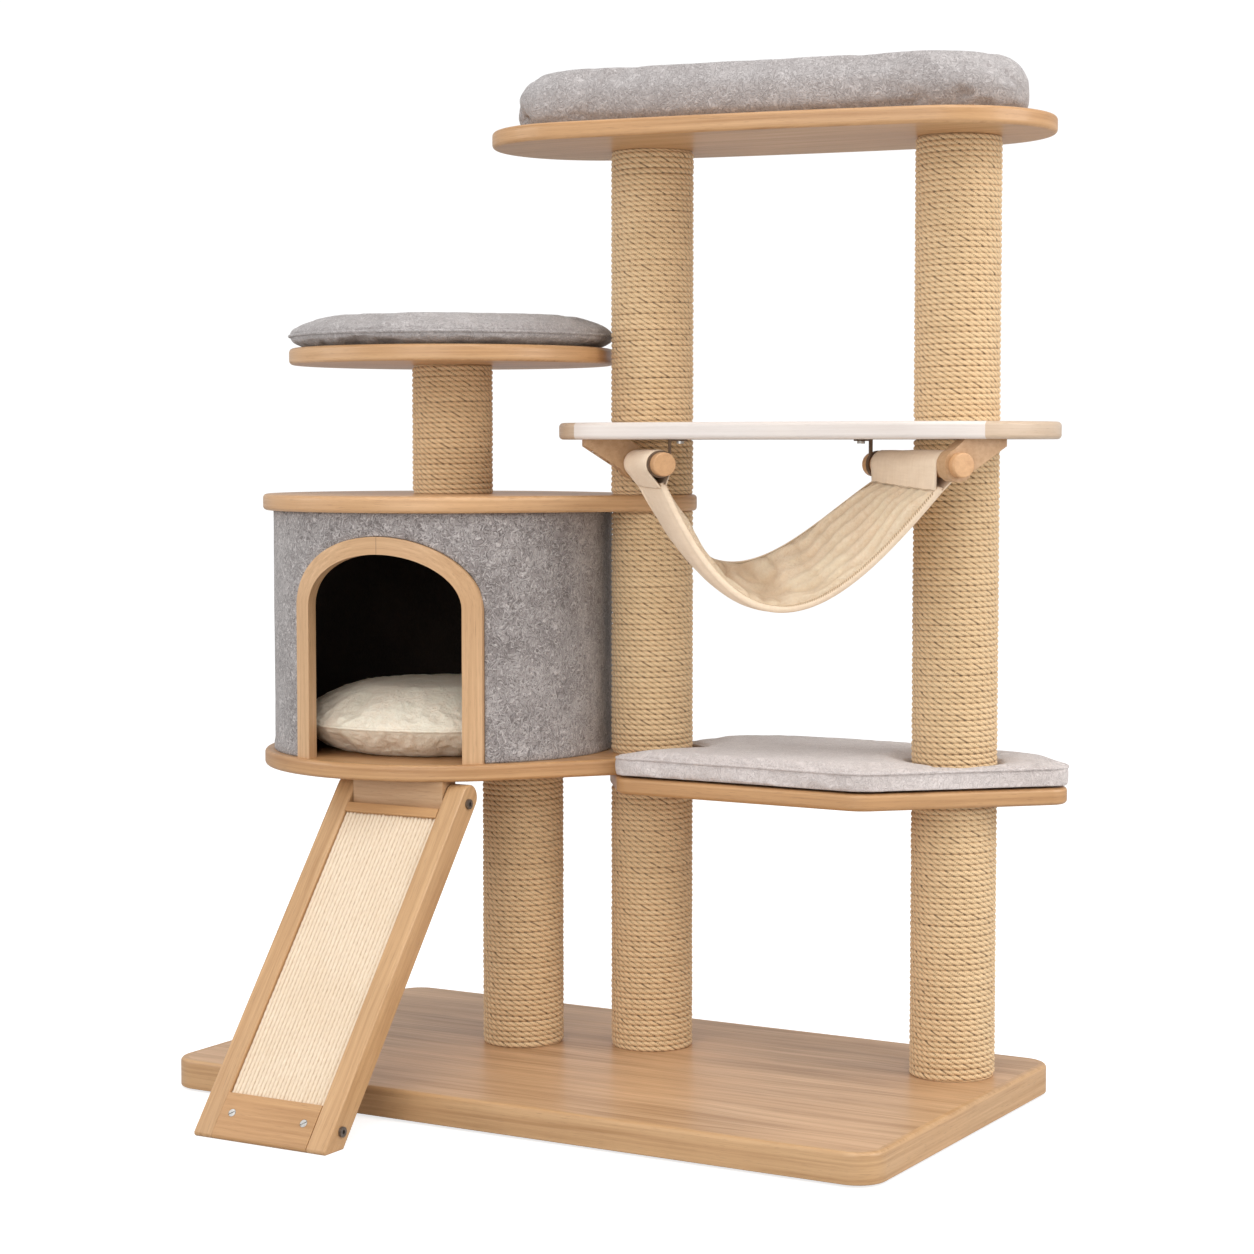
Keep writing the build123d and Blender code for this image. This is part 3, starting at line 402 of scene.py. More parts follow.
mat_trim = trim_wood("oak trim", (0.69, 0.44, 0.245), (0.46, 0.26, 0.122))
mat_rope = rope_fibre("sisal rope", (0.92, 0.675, 0.40), (0.68, 0.45, 0.23), (0.135, 0.062, 0.02))
mat_felt = felt("grey felt", (0.70, 0.65, 0.635), (0.32, 0.286, 0.278), (0.115, 0.098, 0.094))
mat_felt_top = felt(
    "grey felt top", (0.64, 0.60, 0.59), (0.42, 0.385, 0.378), (0.26, 0.23, 0.224), seed=2.5
)
mat_felt_pad = felt(
    "grey felt pad", (0.90, 0.825, 0.80), (0.71, 0.64, 0.615), (0.50, 0.435, 0.415), seed=5.5, fuzz=0.7
)
mat_plush = plush("cream plush", (1.0, 0.90, 0.745), (0.97, 0.82, 0.64))
mat_fleece = plush("cream fleece", (1.0, 0.795, 0.575), (0.91, 0.665, 0.43), pile=0.7, seed=3.0)
mat_canvas = cloth("cream canvas", (0.93, 0.75, 0.565), (0.81, 0.62, 0.44))
mat_thread = cloth("hem thread", (0.60, 0.44, 0.28), (0.46, 0.32, 0.19))
mat_mat = sisal_mat("woven mat", (0.86, 0.73, 0.575), (0.74, 0.58, 0.41), (0.42, 0.255, 0.125))
mat_lining = lining("dark lining", (0.024, 0.017, 0.013))
mat_zinc = metal("zinc steel", (0.62, 0.60, 0.57), 0.34)
mat_dark_bolt = metal("dark bolt", (0.23, 0.20, 0.18), 0.42)
mat_strap = metal("dark strap", (0.24, 0.17, 0.12), 0.5)
mat_foot = rubber("foot pad", (0.05, 0.045, 0.04))

CAD_LOOKS = {
    mat_base: ["base_panel"],
    mat_band: ["base_edge_band"],
    mat_foot: ["base_feet"],
    mat_tube: ["post_%s_core" % p for p in "a b_low b_mid b_short b_top c_low c_mid c_top perch".split()],
    mat_plug: ["post_end_plugs"],
    mat_zinc: ["joining_studs", "post_bolts", "hammock_screws", "hinge_block_screws", "ramp_face_screws"],
    mat_board: ["lower_platform_board", "house_floor_board"],
    mat_wall: ["house_wall"],
    mat_trim: ["door_trim"],
    mat_roof: ["house_top_board", "perch_board"],
    mat_pale_shelf: ["shelf_board"],
    mat_shelf_end: ["shelf_end_left", "shelf_end_right"],
    mat_dowel: ["hammock_dowel_left", "hammock_dowel_right"],
    mat_arm: ["hammock_arm_left", "hammock_arm_right", "ramp_hinge_block"],
    mat_strap: ["hammock_straps"],
    mat_deck: ["top_platform_board"],
    mat_rail: ["ramp_rail_left"],
    mat_rail_too: ["ramp_rail_right"],
    mat_cross: ["ramp_top_rail", "ramp_bottom_rail"],
    mat_ply: ["ramp_backing_panel"],
    mat_dark_bolt: ["ramp_pivot_bolts", "ramp_side_bolts"],
}
for look, names in CAD_LOOKS.items():
    for node_name in names:
        slots = frame["nodes"][node_name].material_slots
        for slot in slots:
            slot.material = look


# ---------- mesh helpers
def made(name, points, faces, look, body="frame", smooth=True):
    """A mesh object from plain lists, riding on a body."""
    mesh = bpy.data.meshes.new(name)
    mesh.from_pydata([tuple(p) for p in points], [], faces)
    mesh.update()
    piece = bpy.data.objects.new(name, mesh)
    bpy.context.scene.collection.objects.link(piece)
    for m in look if isinstance(look, (list, tuple)) else [look]:
        mesh.materials.append(m)
    if smooth:
        mesh.shade_smooth()
    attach(piece, body)
    return piece


def grid_faces(rows, cols, wrap_rows=False, wrap_cols=False, first=0):
    """Quads over a grid of points that is numbered row by row."""
    faces = []
    for i in range(rows if wrap_rows else rows - 1):
        for j in range(cols if wrap_cols else cols - 1):
            a = first + i * cols + j
            b = first + i * cols + (j + 1) % cols
            c = first + (i + 1) % rows * cols + (j + 1) % cols
            d = first + (i + 1) % rows * cols + j
            faces.append((a, b, c, d))
    return faces


def tube(points, radius, sides=8, closed=False, squash=1.0):
    """Points and faces of a round bar along a path, level side out."""
    count = len(points)
    verts, faces = [], []
    for i, p in enumerate(points):
        before = points[i - 1] if closed or i else p
        after = points[(i + 1) % count] if closed or i < count - 1 else p
        ahead = (after - before).normalized()
        side = ahead.cross(Vector((0, 0, 1)))
        side = side.normalized() if side.length > 1e-6 else Vector((1, 0, 0))
        up = side.cross(ahead)
        for k in range(sides):
            turn = 2 * math.pi * k / sides
            verts.append(p + side * radius * math.cos(turn) + up * radius * squash * math.sin(turn))
    faces = grid_faces(count, sides, closed, True)
    if not closed:
        faces.append(tuple(range(sides))[::-1])
        faces.append(tuple(range((count - 1) * sides, count * sides)))
    return verts, faces


def float_layer(mesh, name, values):
    layer = mesh.attributes.new(name, "FLOAT", "POINT")
    layer.data.foreach_set("value", np.asarray(values, np.float32))


def uv_from_points(mesh, name, uv):
    layer = mesh.uv_layers.new(name=name)
    index = np.zeros(len(mesh.loops), np.int32)
    mesh.loops.foreach_get("vertex_index", index)
    layer.data.foreach_set("uv", np.asarray(uv, np.float32)[index].ravel())


def outward(piece):
    """Makes the faces of a closed piece look out."""
    bm = bmesh.new()
    bm.from_mesh(piece.data)
    bmesh.ops.recalc_face_normals(bm, faces=bm.faces)
    bm.to_mesh(piece.data)
    bm.free()


# ---------- rope windings
PITCH, STRAND_R, CORE_R = 0.0065, 0.0037, 0.0433
LAY = 0.026
TURN_STEPS = 150
ROUND_STEPS = 9
LOBE_AT, LOBE_R = 0.48, 0.52


def lobed(angle):
    """Outline of three laid strands, 1 at a crown."""
    near = np.abs((angle + math.pi / 3) % (2 * math.pi / 3) - math.pi / 3)
    return LOBE_AT * np.cos(near) + np.sqrt(LOBE_R**2 - (LOBE_AT * np.sin(near)) ** 2)


def winding(name, node, xy, seed):
    """One rope wound up a tube, its two ends tapered under the boards."""
    low, high = (corner.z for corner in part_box(node))
    turns = round((high - low) / PITCH)
    pitch = (high - low) / turns
    t = np.linspace(0.02, turns + 0.98, int((turns + 1) * TURN_STEPS))
    full = np.clip(np.minimum(t, turns + 1 - t), 0.0, 1.0)
    z = np.where(t < 1, pitch * t / 2, pitch * (t - 0.5))
    z = np.where(t > turns, high - low - pitch * (turns + 1 - t) / 2, z) + low
    rng = np.random.default_rng(seed)
    walk = np.interp(t, np.arange(0, turns + 3, 0.21), rng.normal(0, 1, int((turns + 3) / 0.21) + 1))
    z = z + 0.00022 * walk * (full >= 1)
    thick = STRAND_R * full * (1 + 0.035 * np.roll(walk, 37))
    spin = 2 * math.pi * t + seed
    along = t * 2 * math.pi * (CORE_R + STRAND_R)
    twist = -2 * math.pi * along / LAY
    angles = np.radians(np.linspace(-108, 108, ROUND_STEPS))
    shape = lobed(angles[None, :] - twist[:, None])
    reach = CORE_R + STRAND_R + thick[:, None] * shape * np.cos(angles)[None, :]
    height = z[:, None] + (thick[:, None] * shape + 0.0003) * np.sin(angles)[None, :]
    height = np.clip(height, low + 0.0001, high - 0.0001)
    x = xy[0] + reach * np.cos(spin)[:, None]
    y = xy[1] + reach * np.sin(spin)[:, None]
    points = np.stack([x, y, height], -1).reshape(-1, 3)
    faces = grid_faces(len(t), ROUND_STEPS, False, True)
    piece = made(name, points, faces, mat_rope)
    # The valley layer is both a fibre coordinate and the amount of painted shade. It is raised at the top
    # and bottom of each turn, where turns touch.
    valley = np.clip((1 - shape) / (1 - lobed(np.array(math.pi / 3))), 0, 1)
    side = np.abs(np.sin(angles))[None, :] ** 2
    float_layer(piece.data, "valley", np.clip(valley * (0.86 + 0.2 * side), 0, 1).ravel())
    lead = (angles[None, :] - twist[:, None]) / (2 * math.pi)
    uv = np.stack([np.broadcast_to(along[:, None], shape.shape), lead], -1).reshape(-1, 2)
    uv_from_points(piece.data, "Rope", uv)
    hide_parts(node)
    return piece


SECTIONS = ("post_a", "post_b_low", "post_b_mid", "post_b_short", "post_b_top")
SECTIONS += ("post_c_low", "post_c_mid", "post_c_top", "post_perch")
for order, section in enumerate(SECTIONS):
    post = next(p for p in POSTS if section.startswith(p))
    winding("sisal_" + section, section + "_rope", POSTS[post], 11 + order)


# ---------- den: felt cover and lining
FLOOR_TOP, ROOF_Z = 0.404, 0.702


def door_shell(name, radius, thick, grow, hem, look, node, seed):
    """Round cloth wall with an arched doorway, its lower edge folded up as a hem."""
    half = DOOR_HALF + TRIM_W + grow
    rise = DOOR_RISE + TRIM_W + grow
    edge = math.asin(half / radius)
    low, high = FLOOR_TOP + 0.0003, ROOF_Z - 0.0003
    spring = FLOOR_TOP + DOOR_SPRING
    rows_low, rows_high, cols_wall, cols_arch = 44, 26, 230, 44
    facing = DOOR_TURN - math.pi / 2
    points, uv, faces, index = [], [], [], {}

    def z_rows(top_only, a):
        share = max(0.0, 1 - (radius * math.sin(a) / half) ** 2)
        bottom = spring + rise * math.sqrt(share)
        upper = [bottom + (high - bottom) * k / rows_high for k in range(rows_high + 1)]
        lower = [low + (spring - low) * (k / rows_low) ** 1.15 for k in range(rows_low)]
        return upper if top_only else lower + upper

    def put(a, z):
        wave = noise.noise(Vector((radius * math.cos(a) * 9, radius * math.sin(a) * 9, z * 9 + seed)))
        fine = noise.noise(Vector((radius * math.cos(a) * 60, radius * math.sin(a) * 60, z * 60 + seed)))
        fold = hem * max(0.0, min(1.0, (low + 0.0135 - z) / 0.0012))
        pull = -0.0007 * math.exp(-(((z - low - 0.0115) / 0.0009) ** 2)) if hem else 0.0
        out = radius + 0.0006 * wave + 0.00022 * fine + fold + pull
        points.append(
            (HOUSE[0] + out * math.cos(a + facing), HOUSE[1] + out * math.sin(a + facing), z)
        )
        uv.append((a * radius, z))
        return len(points) - 1

    wall = [edge + (2 * math.pi - 2 * edge) * k / cols_wall for k in range(cols_wall + 1)]
    arch = [-edge + 2 * edge * k / cols_arch for k in range(cols_arch + 1)]
    for k, a in enumerate(wall):
        index["w", k] = [put(a, z) for z in z_rows(False, edge)]
    for k, a in enumerate(arch):
        if k in (0, cols_arch):
            index["a", k] = index["w", cols_wall if k == 0 else 0][rows_low:]
        else:
            index["a", k] = [put(a, z) for z in z_rows(True, a)]
    for kind, count in (("w", cols_wall), ("a", cols_arch)):
        for k in range(count):
            left, right = index[kind, k], index[kind, k + 1]
            for r in range(len(left) - 1):
                faces.append((left[r], right[r], right[r + 1], left[r + 1]))
    piece = made(name, points, faces, look)
    uv_from_points(piece.data, "Weave", uv)
    skin = piece.modifiers.new("thickness", "SOLIDIFY")
    skin.thickness = thick
    skin.offset = 0.0
    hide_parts(node)
    return piece


door_shell(
    "felt_cover", 0.2108, 0.0026, 0.0004, 0.0011, mat_felt, "house_felt_cover", 1.0
)
door_shell("den_lining", 0.2017, 0.002, 0.0004, 0.0, mat_lining, "house_lining", 5.0)


def stitches(name, spots, length, radius, look, body="frame", sides=6):
    """Many short rounded stitches. Each spot is a middle, a direction and the way out of the cloth."""
    points, faces = [], []
    for mid, ahead, out in spots:
        ahead = ahead.normalized()
        side = ahead.cross(out).normalized()
        up = side.cross(ahead)
        first = len(points)
        rings = ((-0.5, 0.35, -0.4), (-0.25, 0.9, 0.1), (0.25, 0.9, 0.1), (0.5, 0.35, -0.4))
        for reach, wide, lift in rings:
            centre = mid + ahead * length * reach + up * radius * lift
            for k in range(sides):
                turn = 2 * math.pi * k / sides
                points.append(
                    centre + (side * math.cos(turn) + up * math.sin(turn)) * radius * wide
                )
        faces += grid_faces(len(rings), sides, False, True, first)
        faces.append(tuple(first + k for k in range(sides))[::-1])
        faces.append(tuple(first + 3 * sides + k for k in range(sides)))
    piece = made(name, points, faces, look, body)
    outward(piece)
    uv_from_points(piece.data, "Weave", [(p[0], p[2]) for p in points])
    return piece


HEM_Z = FLOOR_TOP + 0.0003 + 0.0115
HEM_STITCHES = 330
hem_spots = []
hem_edge = math.asin((DOOR_HALF + TRIM_W + 0.003) / 0.2115)
for k in range(HEM_STITCHES):
    a = hem_edge + (2 * math.pi - 2 * hem_edge) * (k + 0.5) / HEM_STITCHES
    ang = a + DOOR_TURN - math.pi / 2
    out = Vector((math.cos(ang), math.sin(ang), 0))
    mid = Vector((HOUSE[0], HOUSE[1], HEM_Z)) + out * 0.2118
    hem_spots.append((mid, Vector((-math.sin(ang), math.cos(ang), 0)), out))
mat_grey_thread = cloth("grey thread", (0.20, 0.175, 0.165), (0.13, 0.11, 0.105))
stitches("felt_hem_stitching", hem_spots, 0.0026, 0.00038, mat_grey_thread)


# ---------- stuffed pieces
SIM_FRAMES = 20
DEN_SEAM, PERCH_SEAM, PAD_SEAM = 0.440, 0.9172, 0.4075


def stuffed(
    name, node, look, body, voxel, shrink, pressure, cap, grow, seam=None, relax=4, pile=0.0004
):
    """Copies a plain solid, remeshes it and lets cloth under light pressure swell it."""
    source = frame["nodes"][node]
    low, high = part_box(node)
    mesh = source.data.copy()
    mesh.name = name
    mesh.materials.clear()
    piece = bpy.data.objects.new(name, mesh)
    bpy.context.scene.collection.objects.link(piece)
    bpy.context.view_layer.objects.active = piece
    bm = bmesh.new()
    bm.from_mesh(mesh)
    bmesh.ops.remove_doubles(bm, verts=bm.verts, dist=1e-5)
    bm.to_mesh(mesh)
    bm.free()
    remesh = piece.modifiers.new("remesh", "REMESH")
    remesh.mode = "VOXEL"
    remesh.voxel_size = voxel
    apply_modifiers(piece)
    mesh = piece.data
    bm = bmesh.new()
    bm.from_mesh(mesh)
    for step in range(relax):
        bmesh.ops.smooth_vert(
            bm, verts=bm.verts, factor=0.5, use_axis_x=True, use_axis_y=True, use_axis_z=True
        )
    bm.normal_update()
    bottom = low.z + 0.0008
    for v in bm.verts:
        v.co -= v.normal * shrink
        v.co.z = max(v.co.z, bottom - 0.0006)
    bm.to_mesh(mesh)
    bm.free()
    start = points_of(mesh)
    pins = piece.vertex_groups.new(name="held")
    for i, p in enumerate(start):
        weight = 0.0
        if p[2] < bottom + 0.002:
            weight = 1.0
        if seam is not None and abs(p[2] - seam) < voxel * 0.75 and edge_like(mesh, i):
            weight = 1.0
        if weight:
            pins.add([i], weight, "REPLACE")
    sim = piece.modifiers.new("stuffing", "CLOTH")
    sim.settings.quality = 5
    sim.settings.mass = 0.25
    sim.settings.tension_stiffness = 14
    sim.settings.compression_stiffness = 14
    sim.settings.shear_stiffness = 8
    sim.settings.bending_stiffness = 0.35
    sim.settings.use_pressure = True
    sim.settings.uniform_pressure_force = pressure
    sim.settings.shrink_min = -grow
    sim.settings.vertex_group_mass = "held"
    sim.settings.effector_weights.gravity = 0.0
    sim.collision_settings.use_collision = False
    sim.collision_settings.use_self_collision = False
    sim.point_cache.frame_start = 1
    sim.point_cache.frame_end = SIM_FRAMES
    for f in range(1, SIM_FRAMES + 1):
        bpy.context.scene.frame_set(f)
    apply_modifiers(piece)
    bpy.context.scene.frame_set(1)
    mesh = piece.data
    now = points_of(mesh)
    move = now - start
    size = np.linalg.norm(move, axis=1, keepdims=True)
    now = start + move * np.minimum(1.0, cap / np.maximum(size, 1e-9))
    now[:, 2] = np.maximum(now[:, 2], low.z + 0.0002)
    mesh.vertices.foreach_set("co", now.astype(np.float32).ravel())
    mesh.update()
    piece.vertex_groups.clear()
    for v in piece.data.vertices:
        tuft = noise.noise(v.co * 150) + 0.6 * noise.noise(v.co * 62)
        v.co = v.co + v.normal * (pile * tuft if v.co.z > bottom + 0.002 else 0.0)
    piece.data.materials.append(look)
    piece.data.shade_smooth()
    fine = piece.modifiers.new("finer", "SUBSURF")
    fine.levels = 1
    fine.render_levels = 1
    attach(piece, body)
    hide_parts(node)
    return piece


def apply_modifiers(piece):
    """Bakes the piece's modifiers into its mesh."""
    graph = bpy.context.evaluated_depsgraph_get()
    fresh = bpy.data.meshes.new_from_object(piece.evaluated_get(graph))
    piece.modifiers.clear()
    piece.data = fresh


def points_of(mesh):
    co = np.zeros(len(mesh.vertices) * 3, np.float32)
    mesh.vertices.foreach_get("co", co)
    return co.reshape(-1, 3).astype(float)


def edge_like(mesh, i):
    """True where the surface stands upright, as it does along a seam on a rim."""
    return abs(mesh.vertices[i].normal.z) < 0.75


def seam_line(piece, z, reach=0.0, every=0.004):
    """The longest line where a level plane cuts the piece, as evenly spaced points."""
    bm = bmesh.new()
    bm.from_mesh(piece.data)
    cut = bmesh.ops.bisect_plane(
        bm, geom=bm.verts[:] + bm.edges[:] + bm.faces[:], plane_co=(0, 0, z), plane_no=(0, 0, 1)
    )
    edges = [e for e in cut["geom_cut"] if isinstance(e, bmesh.types.BMEdge)]
    links = {}
    for e in edges:
        a, b = e.verts
        links.setdefault(a, []).append(b)
        links.setdefault(b, []).append(a)
    loops, seen = [], set()
    for v in links:
        if v in seen:
            continue
        loop, here, last = [], v, None
        while here not in seen:
            seen.add(here)
            loop.append(here.co.copy())
            ahead = [w for w in links[here] if w is not last and w not in seen]
            if not ahead:
                break
            last, here = here, ahead[0]
        loops.append(loop)
    bm.free()
    best = max(loops, key=lambda l: sum((a - b).length for a, b in zip(l, l[1:])))
    ring = np.array([tuple(p) for p in best + best[:1]])
    steps = np.concatenate([[0], np.cumsum(np.linalg.norm(np.diff(ring, axis=0), axis=1))])
    count = int(steps[-1] / every)
    where = np.linspace(0, steps[-1], count, endpoint=False)
    even = np.stack([np.interp(where, steps, ring[:, k]) for k in range(3)], -1)
    for step in range(3):
        even = (np.roll(even, 1, 0) + 2 * even + np.roll(even, -1, 0)) / 4
    centre = even.mean(0)
    ahead = np.roll(even, -1, 0) - np.roll(even, 1, 0)
    side = np.stack([ahead[:, 1], -ahead[:, 0], 0 * ahead[:, 0]], -1)
    side /= np.linalg.norm(side, axis=1, keepdims=True)
    if ((even - centre) * side).sum() < 0:
        side = -side
    return [Vector(p) for p in even + side * reach]


def piping(name, piece, z, radius, reach, look, body, wander=0.0):
    """A sewn cord along the seam of a stuffed piece."""
    path = seam_line(piece, z, reach)
    for p in path:
        p.z += wander * noise.noise(Vector((p.x * 14, p.y * 14, 3.3)))
    points, faces = tube(path, radius, 8, True)
    cord = made(name, points, faces, look, body)
    outward(cord)
    uv_from_points(cord.data, "Weave", [(p[0] + p[1], p[2]) for p in points])
    return cord


den = stuffed(
    "den_cushion_soft", "den_cushion", mat_plush, "frame",
    voxel=0.005, shrink=0.005, pressure=7.0, cap=0.013, grow=0.0, seam=DEN_SEAM, pile=0.0018,
)
perch = stuffed(
    "perch_cushion_soft", "perch_cushion", mat_felt_top, "perch_cushion",
    voxel=0.005, shrink=0.003, pressure=2.0, cap=0.005, grow=0.015, seam=0.917, relax=2,
)
stuffed(
    "top_cushion_soft", "top_cushion", mat_felt_top, "top_cushion",
    voxel=0.006, shrink=0.006, pressure=4.0, cap=0.014, grow=0.03,
)
pad = stuffed(
    "lower_pad_soft", "lower_pad", mat_felt_pad, "frame",
    voxel=0.0045, shrink=0.002, pressure=1.5, cap=0.006, grow=0.01, relax=2,
)
piping("den_cushion_seam", den, DEN_SEAM, 0.0022, 0.0004, mat_plush, "frame", 0.001)
piping("perch_cushion_seam", perch, PERCH_SEAM, 0.0019, 0.0012, mat_felt_top, "perch_cushion")
piping("lower_pad_seam", pad, PAD_SEAM, 0.0018, 0.0010, mat_felt_pad, "frame")


# ---------- ramp mat
RIBS, MAT_HALF, MAT_LOW, MAT_HIGH = 25, 0.0653, -0.4038, -0.0302
MAT_FLOOR, RIB_H = 0.0091, 0.0032


def ramp_point(x, y, z):
    return RAMP_AT + Vector((1, 0, 0)) * x + RAMP_UP * y + RAMP_OUT * z


def woven_mat():
    """Knobbly yarn ribs running up the ramp, on a flat back."""
    per_rib, rows = 8, 190
    cols = RIBS * per_rib + 1
    rng = np.random.default_rng(5)
    phase = rng.uniform(0, 2 * math.pi, RIBS + 1)
    tall = rng.uniform(0.85, 1.08, RIBS + 1)
    points, hollow_shade = [], []
    for r in range(rows):
        y = MAT_LOW + (MAT_HIGH - MAT_LOW) * r / (rows - 1)
        for c in range(cols):
            rib, inside = min(divmod(c, per_rib), (RIBS, 0))
            u = 2 * inside / per_rib - 1
            round_top = math.sqrt(max(0.0, 1 - u * u)) if inside else 0.0
            knob = 0.5 + 0.5 * math.sin(2 * math.pi * y / 0.0085 + phase[rib] + 1.2 * u)
            lump = noise.noise(Vector((rib * 3.1, y * 120, 0.5)))
            height = RIB_H * round_top * tall[rib] * (0.72 + 0.28 * knob + 0.12 * lump)
            x = -MAT_HALF + 2 * MAT_HALF * c / (cols - 1)
            sway = 0.0004 * noise.noise(Vector((rib * 1.7, y * 26, 2.0))) if 0 < c < cols - 1 else 0
            points.append(ramp_point(x + sway, y, MAT_FLOOR + 0.0010 + height))
            # Painted shade amount: full between ribs, least on a rib's crown.
            hollow_shade.append(1 - round_top * (0.75 + 0.25 * knob))
    faces = grid_faces(rows, cols)
    first = len(points)
    for r in range(rows):
        y = MAT_LOW + (MAT_HIGH - MAT_LOW) * r / (rows - 1)
        for c in (0, cols - 1):
            points.append(ramp_point(-MAT_HALF + 2 * MAT_HALF * c / (cols - 1), y, MAT_FLOOR))
            # The mat's side edges get full painted shade.
            hollow_shade.append(1.0)
    for r in range(rows - 1):
        a, b, c, d = (first + 2 * r, first + 2 * r + 1, first + 2 * r + 3, first + 2 * r + 2)
        faces.append((a, d, c, b))
        faces.append((r * cols, (r + 1) * cols, d, a))
        faces.append((b, c, (r + 2) * cols - 1, (r + 1) * cols - 1))
    faces.append((first, first + 1) + tuple(range(cols - 1, -1, -1)))
    top = (rows - 1) * cols
    faces.append(tuple(range(top, top + cols)) + (first + 2 * rows - 1, first + 2 * rows - 2))
    piece = made("ramp_mat_woven", points, faces, mat_mat, "ramp")
    outward(piece)
    float_layer(piece.data, "hollow_shade", hollow_shade)
    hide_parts("ramp_mat")
    return piece


woven_mat()


# ---------- hammock
class Spar:
    """One dowel: front end, turn from straight back, outward side, sleeve from and to."""

    def __init__(self, front, turn, outward_x, sleeve):
        self.front, self.sleeve = Vector((*front, DOWEL_Z)), sleeve
        turn = math.radians(turn)
        self.back = Vector((-math.sin(turn), math.cos(turn), 0))
        self.side = Vector((outward_x * self.back.y, -outward_x * self.back.x, 0))

    def in_sleeve(self, g):
        """Axis of the dowel inside the cloth's sleeve, g from its front to its back."""
        return self.front + self.back * (self.sleeve[0] + (self.sleeve[1] - self.sleeve[0]) * g)


LEFT = Spar((0.1105, -0.0656), 47.0, -1, (0.021, 0.108))
RIGHT = Spar((0.474, -0.042), 55.2, 1, (0.032, 0.175))
HANG = 0.016
FRONT_SAG, FRONT_SKEW = 0.147, 0.3
BACK_SAG, BACK_SKEW = 0.098, 0.5
LOOP_R = 0.0160
LOOP_LEFT, LOOP_RIGHT = 0.014, 0.036


def hang_point(f, g):
    """Middle of the cloth, f from left to right dowel and g from front to back."""
    a = LEFT.in_sleeve(g)
    b = RIGHT.in_sleeve(g)
    sag = FRONT_SAG + (BACK_SAG - FRONT_SAG) * g + 0.010 * 4 * g * (1 - g)
    skew = FRONT_SKEW + (BACK_SKEW - FRONT_SKEW) * g
    p = a.lerp(b, f)
    p.z = DOWEL_Z - HANG - 4 * sag * f * (1 - f) * (1 + skew * (1 - 2 * f))
    return p


def hang_frame(f, g):
    """Unit vectors along the cloth, across it, and up out of it."""
    d = 1e-3
    along = (hang_point(min(1, f + d), g) - hang_point(max(0, f - d), g)).normalized()
    across = (hang_point(f, min(1, g + d)) - hang_point(f, max(0, g - d))).normalized()
    up = along.cross(across).normalized()
    return along, across, up if up.z > 0 else -up


def fullness(f, g):
    """How far the padded face stands up, in tufted puffs and gathers, and how much painted shade its
    creases get.
    """
    edge = min(1.0, g / 0.09, (1 - g) / 0.09)
    rim = math.sin(max(0.0, edge) * math.pi / 2) ** 0.6
    ends = min(1.0, max(0.0, (f - LOOP_LEFT) / 0.06), max(0.0, (1 - LOOP_RIGHT - f) / 0.05))
    s, w = f * BED_LONG, g * BED_WIDE
    wobble = noise.noise(Vector((s * 16, w * 16, 1.0)))
    gather, furrow = 0.0, 0.0
    for end, count, reach in ((f - LOOP_LEFT, 4.5, 0.22), (1 - LOOP_RIGHT - f, 7.0, 0.34)):
        fade = math.exp(-((end / reach) ** 2))
        bend = 1.7 * noise.noise(Vector((s * 9, w * 22, 4.0)))
        fold = math.sin(2 * math.pi * count * (g + 0.10 * wobble) + bend)
        gather += fade * (0.5 + 0.5 * fold)
        furrow += fade * max(0.0, -fold) ** 1.5
    cell = 1.0
    for cu, cv in TUFTS:
        far = math.hypot(s - cu, w - cv)
        cell = min(cell, 1 - math.exp(-((far / 0.015) ** 1.3)))
    crease = 1 - math.exp(-((abs(noise.noise(Vector((s * 21, w * 27, 7.0)))) / 0.16) ** 1.1))
    middle = math.exp(-(((f - 0.42) / 0.26) ** 2))
    puff = 0.0045 + 0.0080 * middle * cell * (0.35 + 0.65 * crease) + 0.0062 * gather
    # Painted shade: in the bed's middle at the tuft dimples and along the creases, and in the furrows of
    # the gathers near the ends.
    hollow_shade = 0.75 * middle * (1 - cell * crease) + 0.7 * furrow
    return 0.0016 + rim * (0.3 + 0.7 * ends) * puff, rim * ends * max(0.0, min(1.0, hollow_shade))


BED_LONG, BED_WIDE = 0.45, 0.11
TUFTS = ((0.175, 0.018), (0.225, 0.062), (0.270, 0.024), (0.135, 0.070), (0.200, 0.098), (0.300, 0.075))


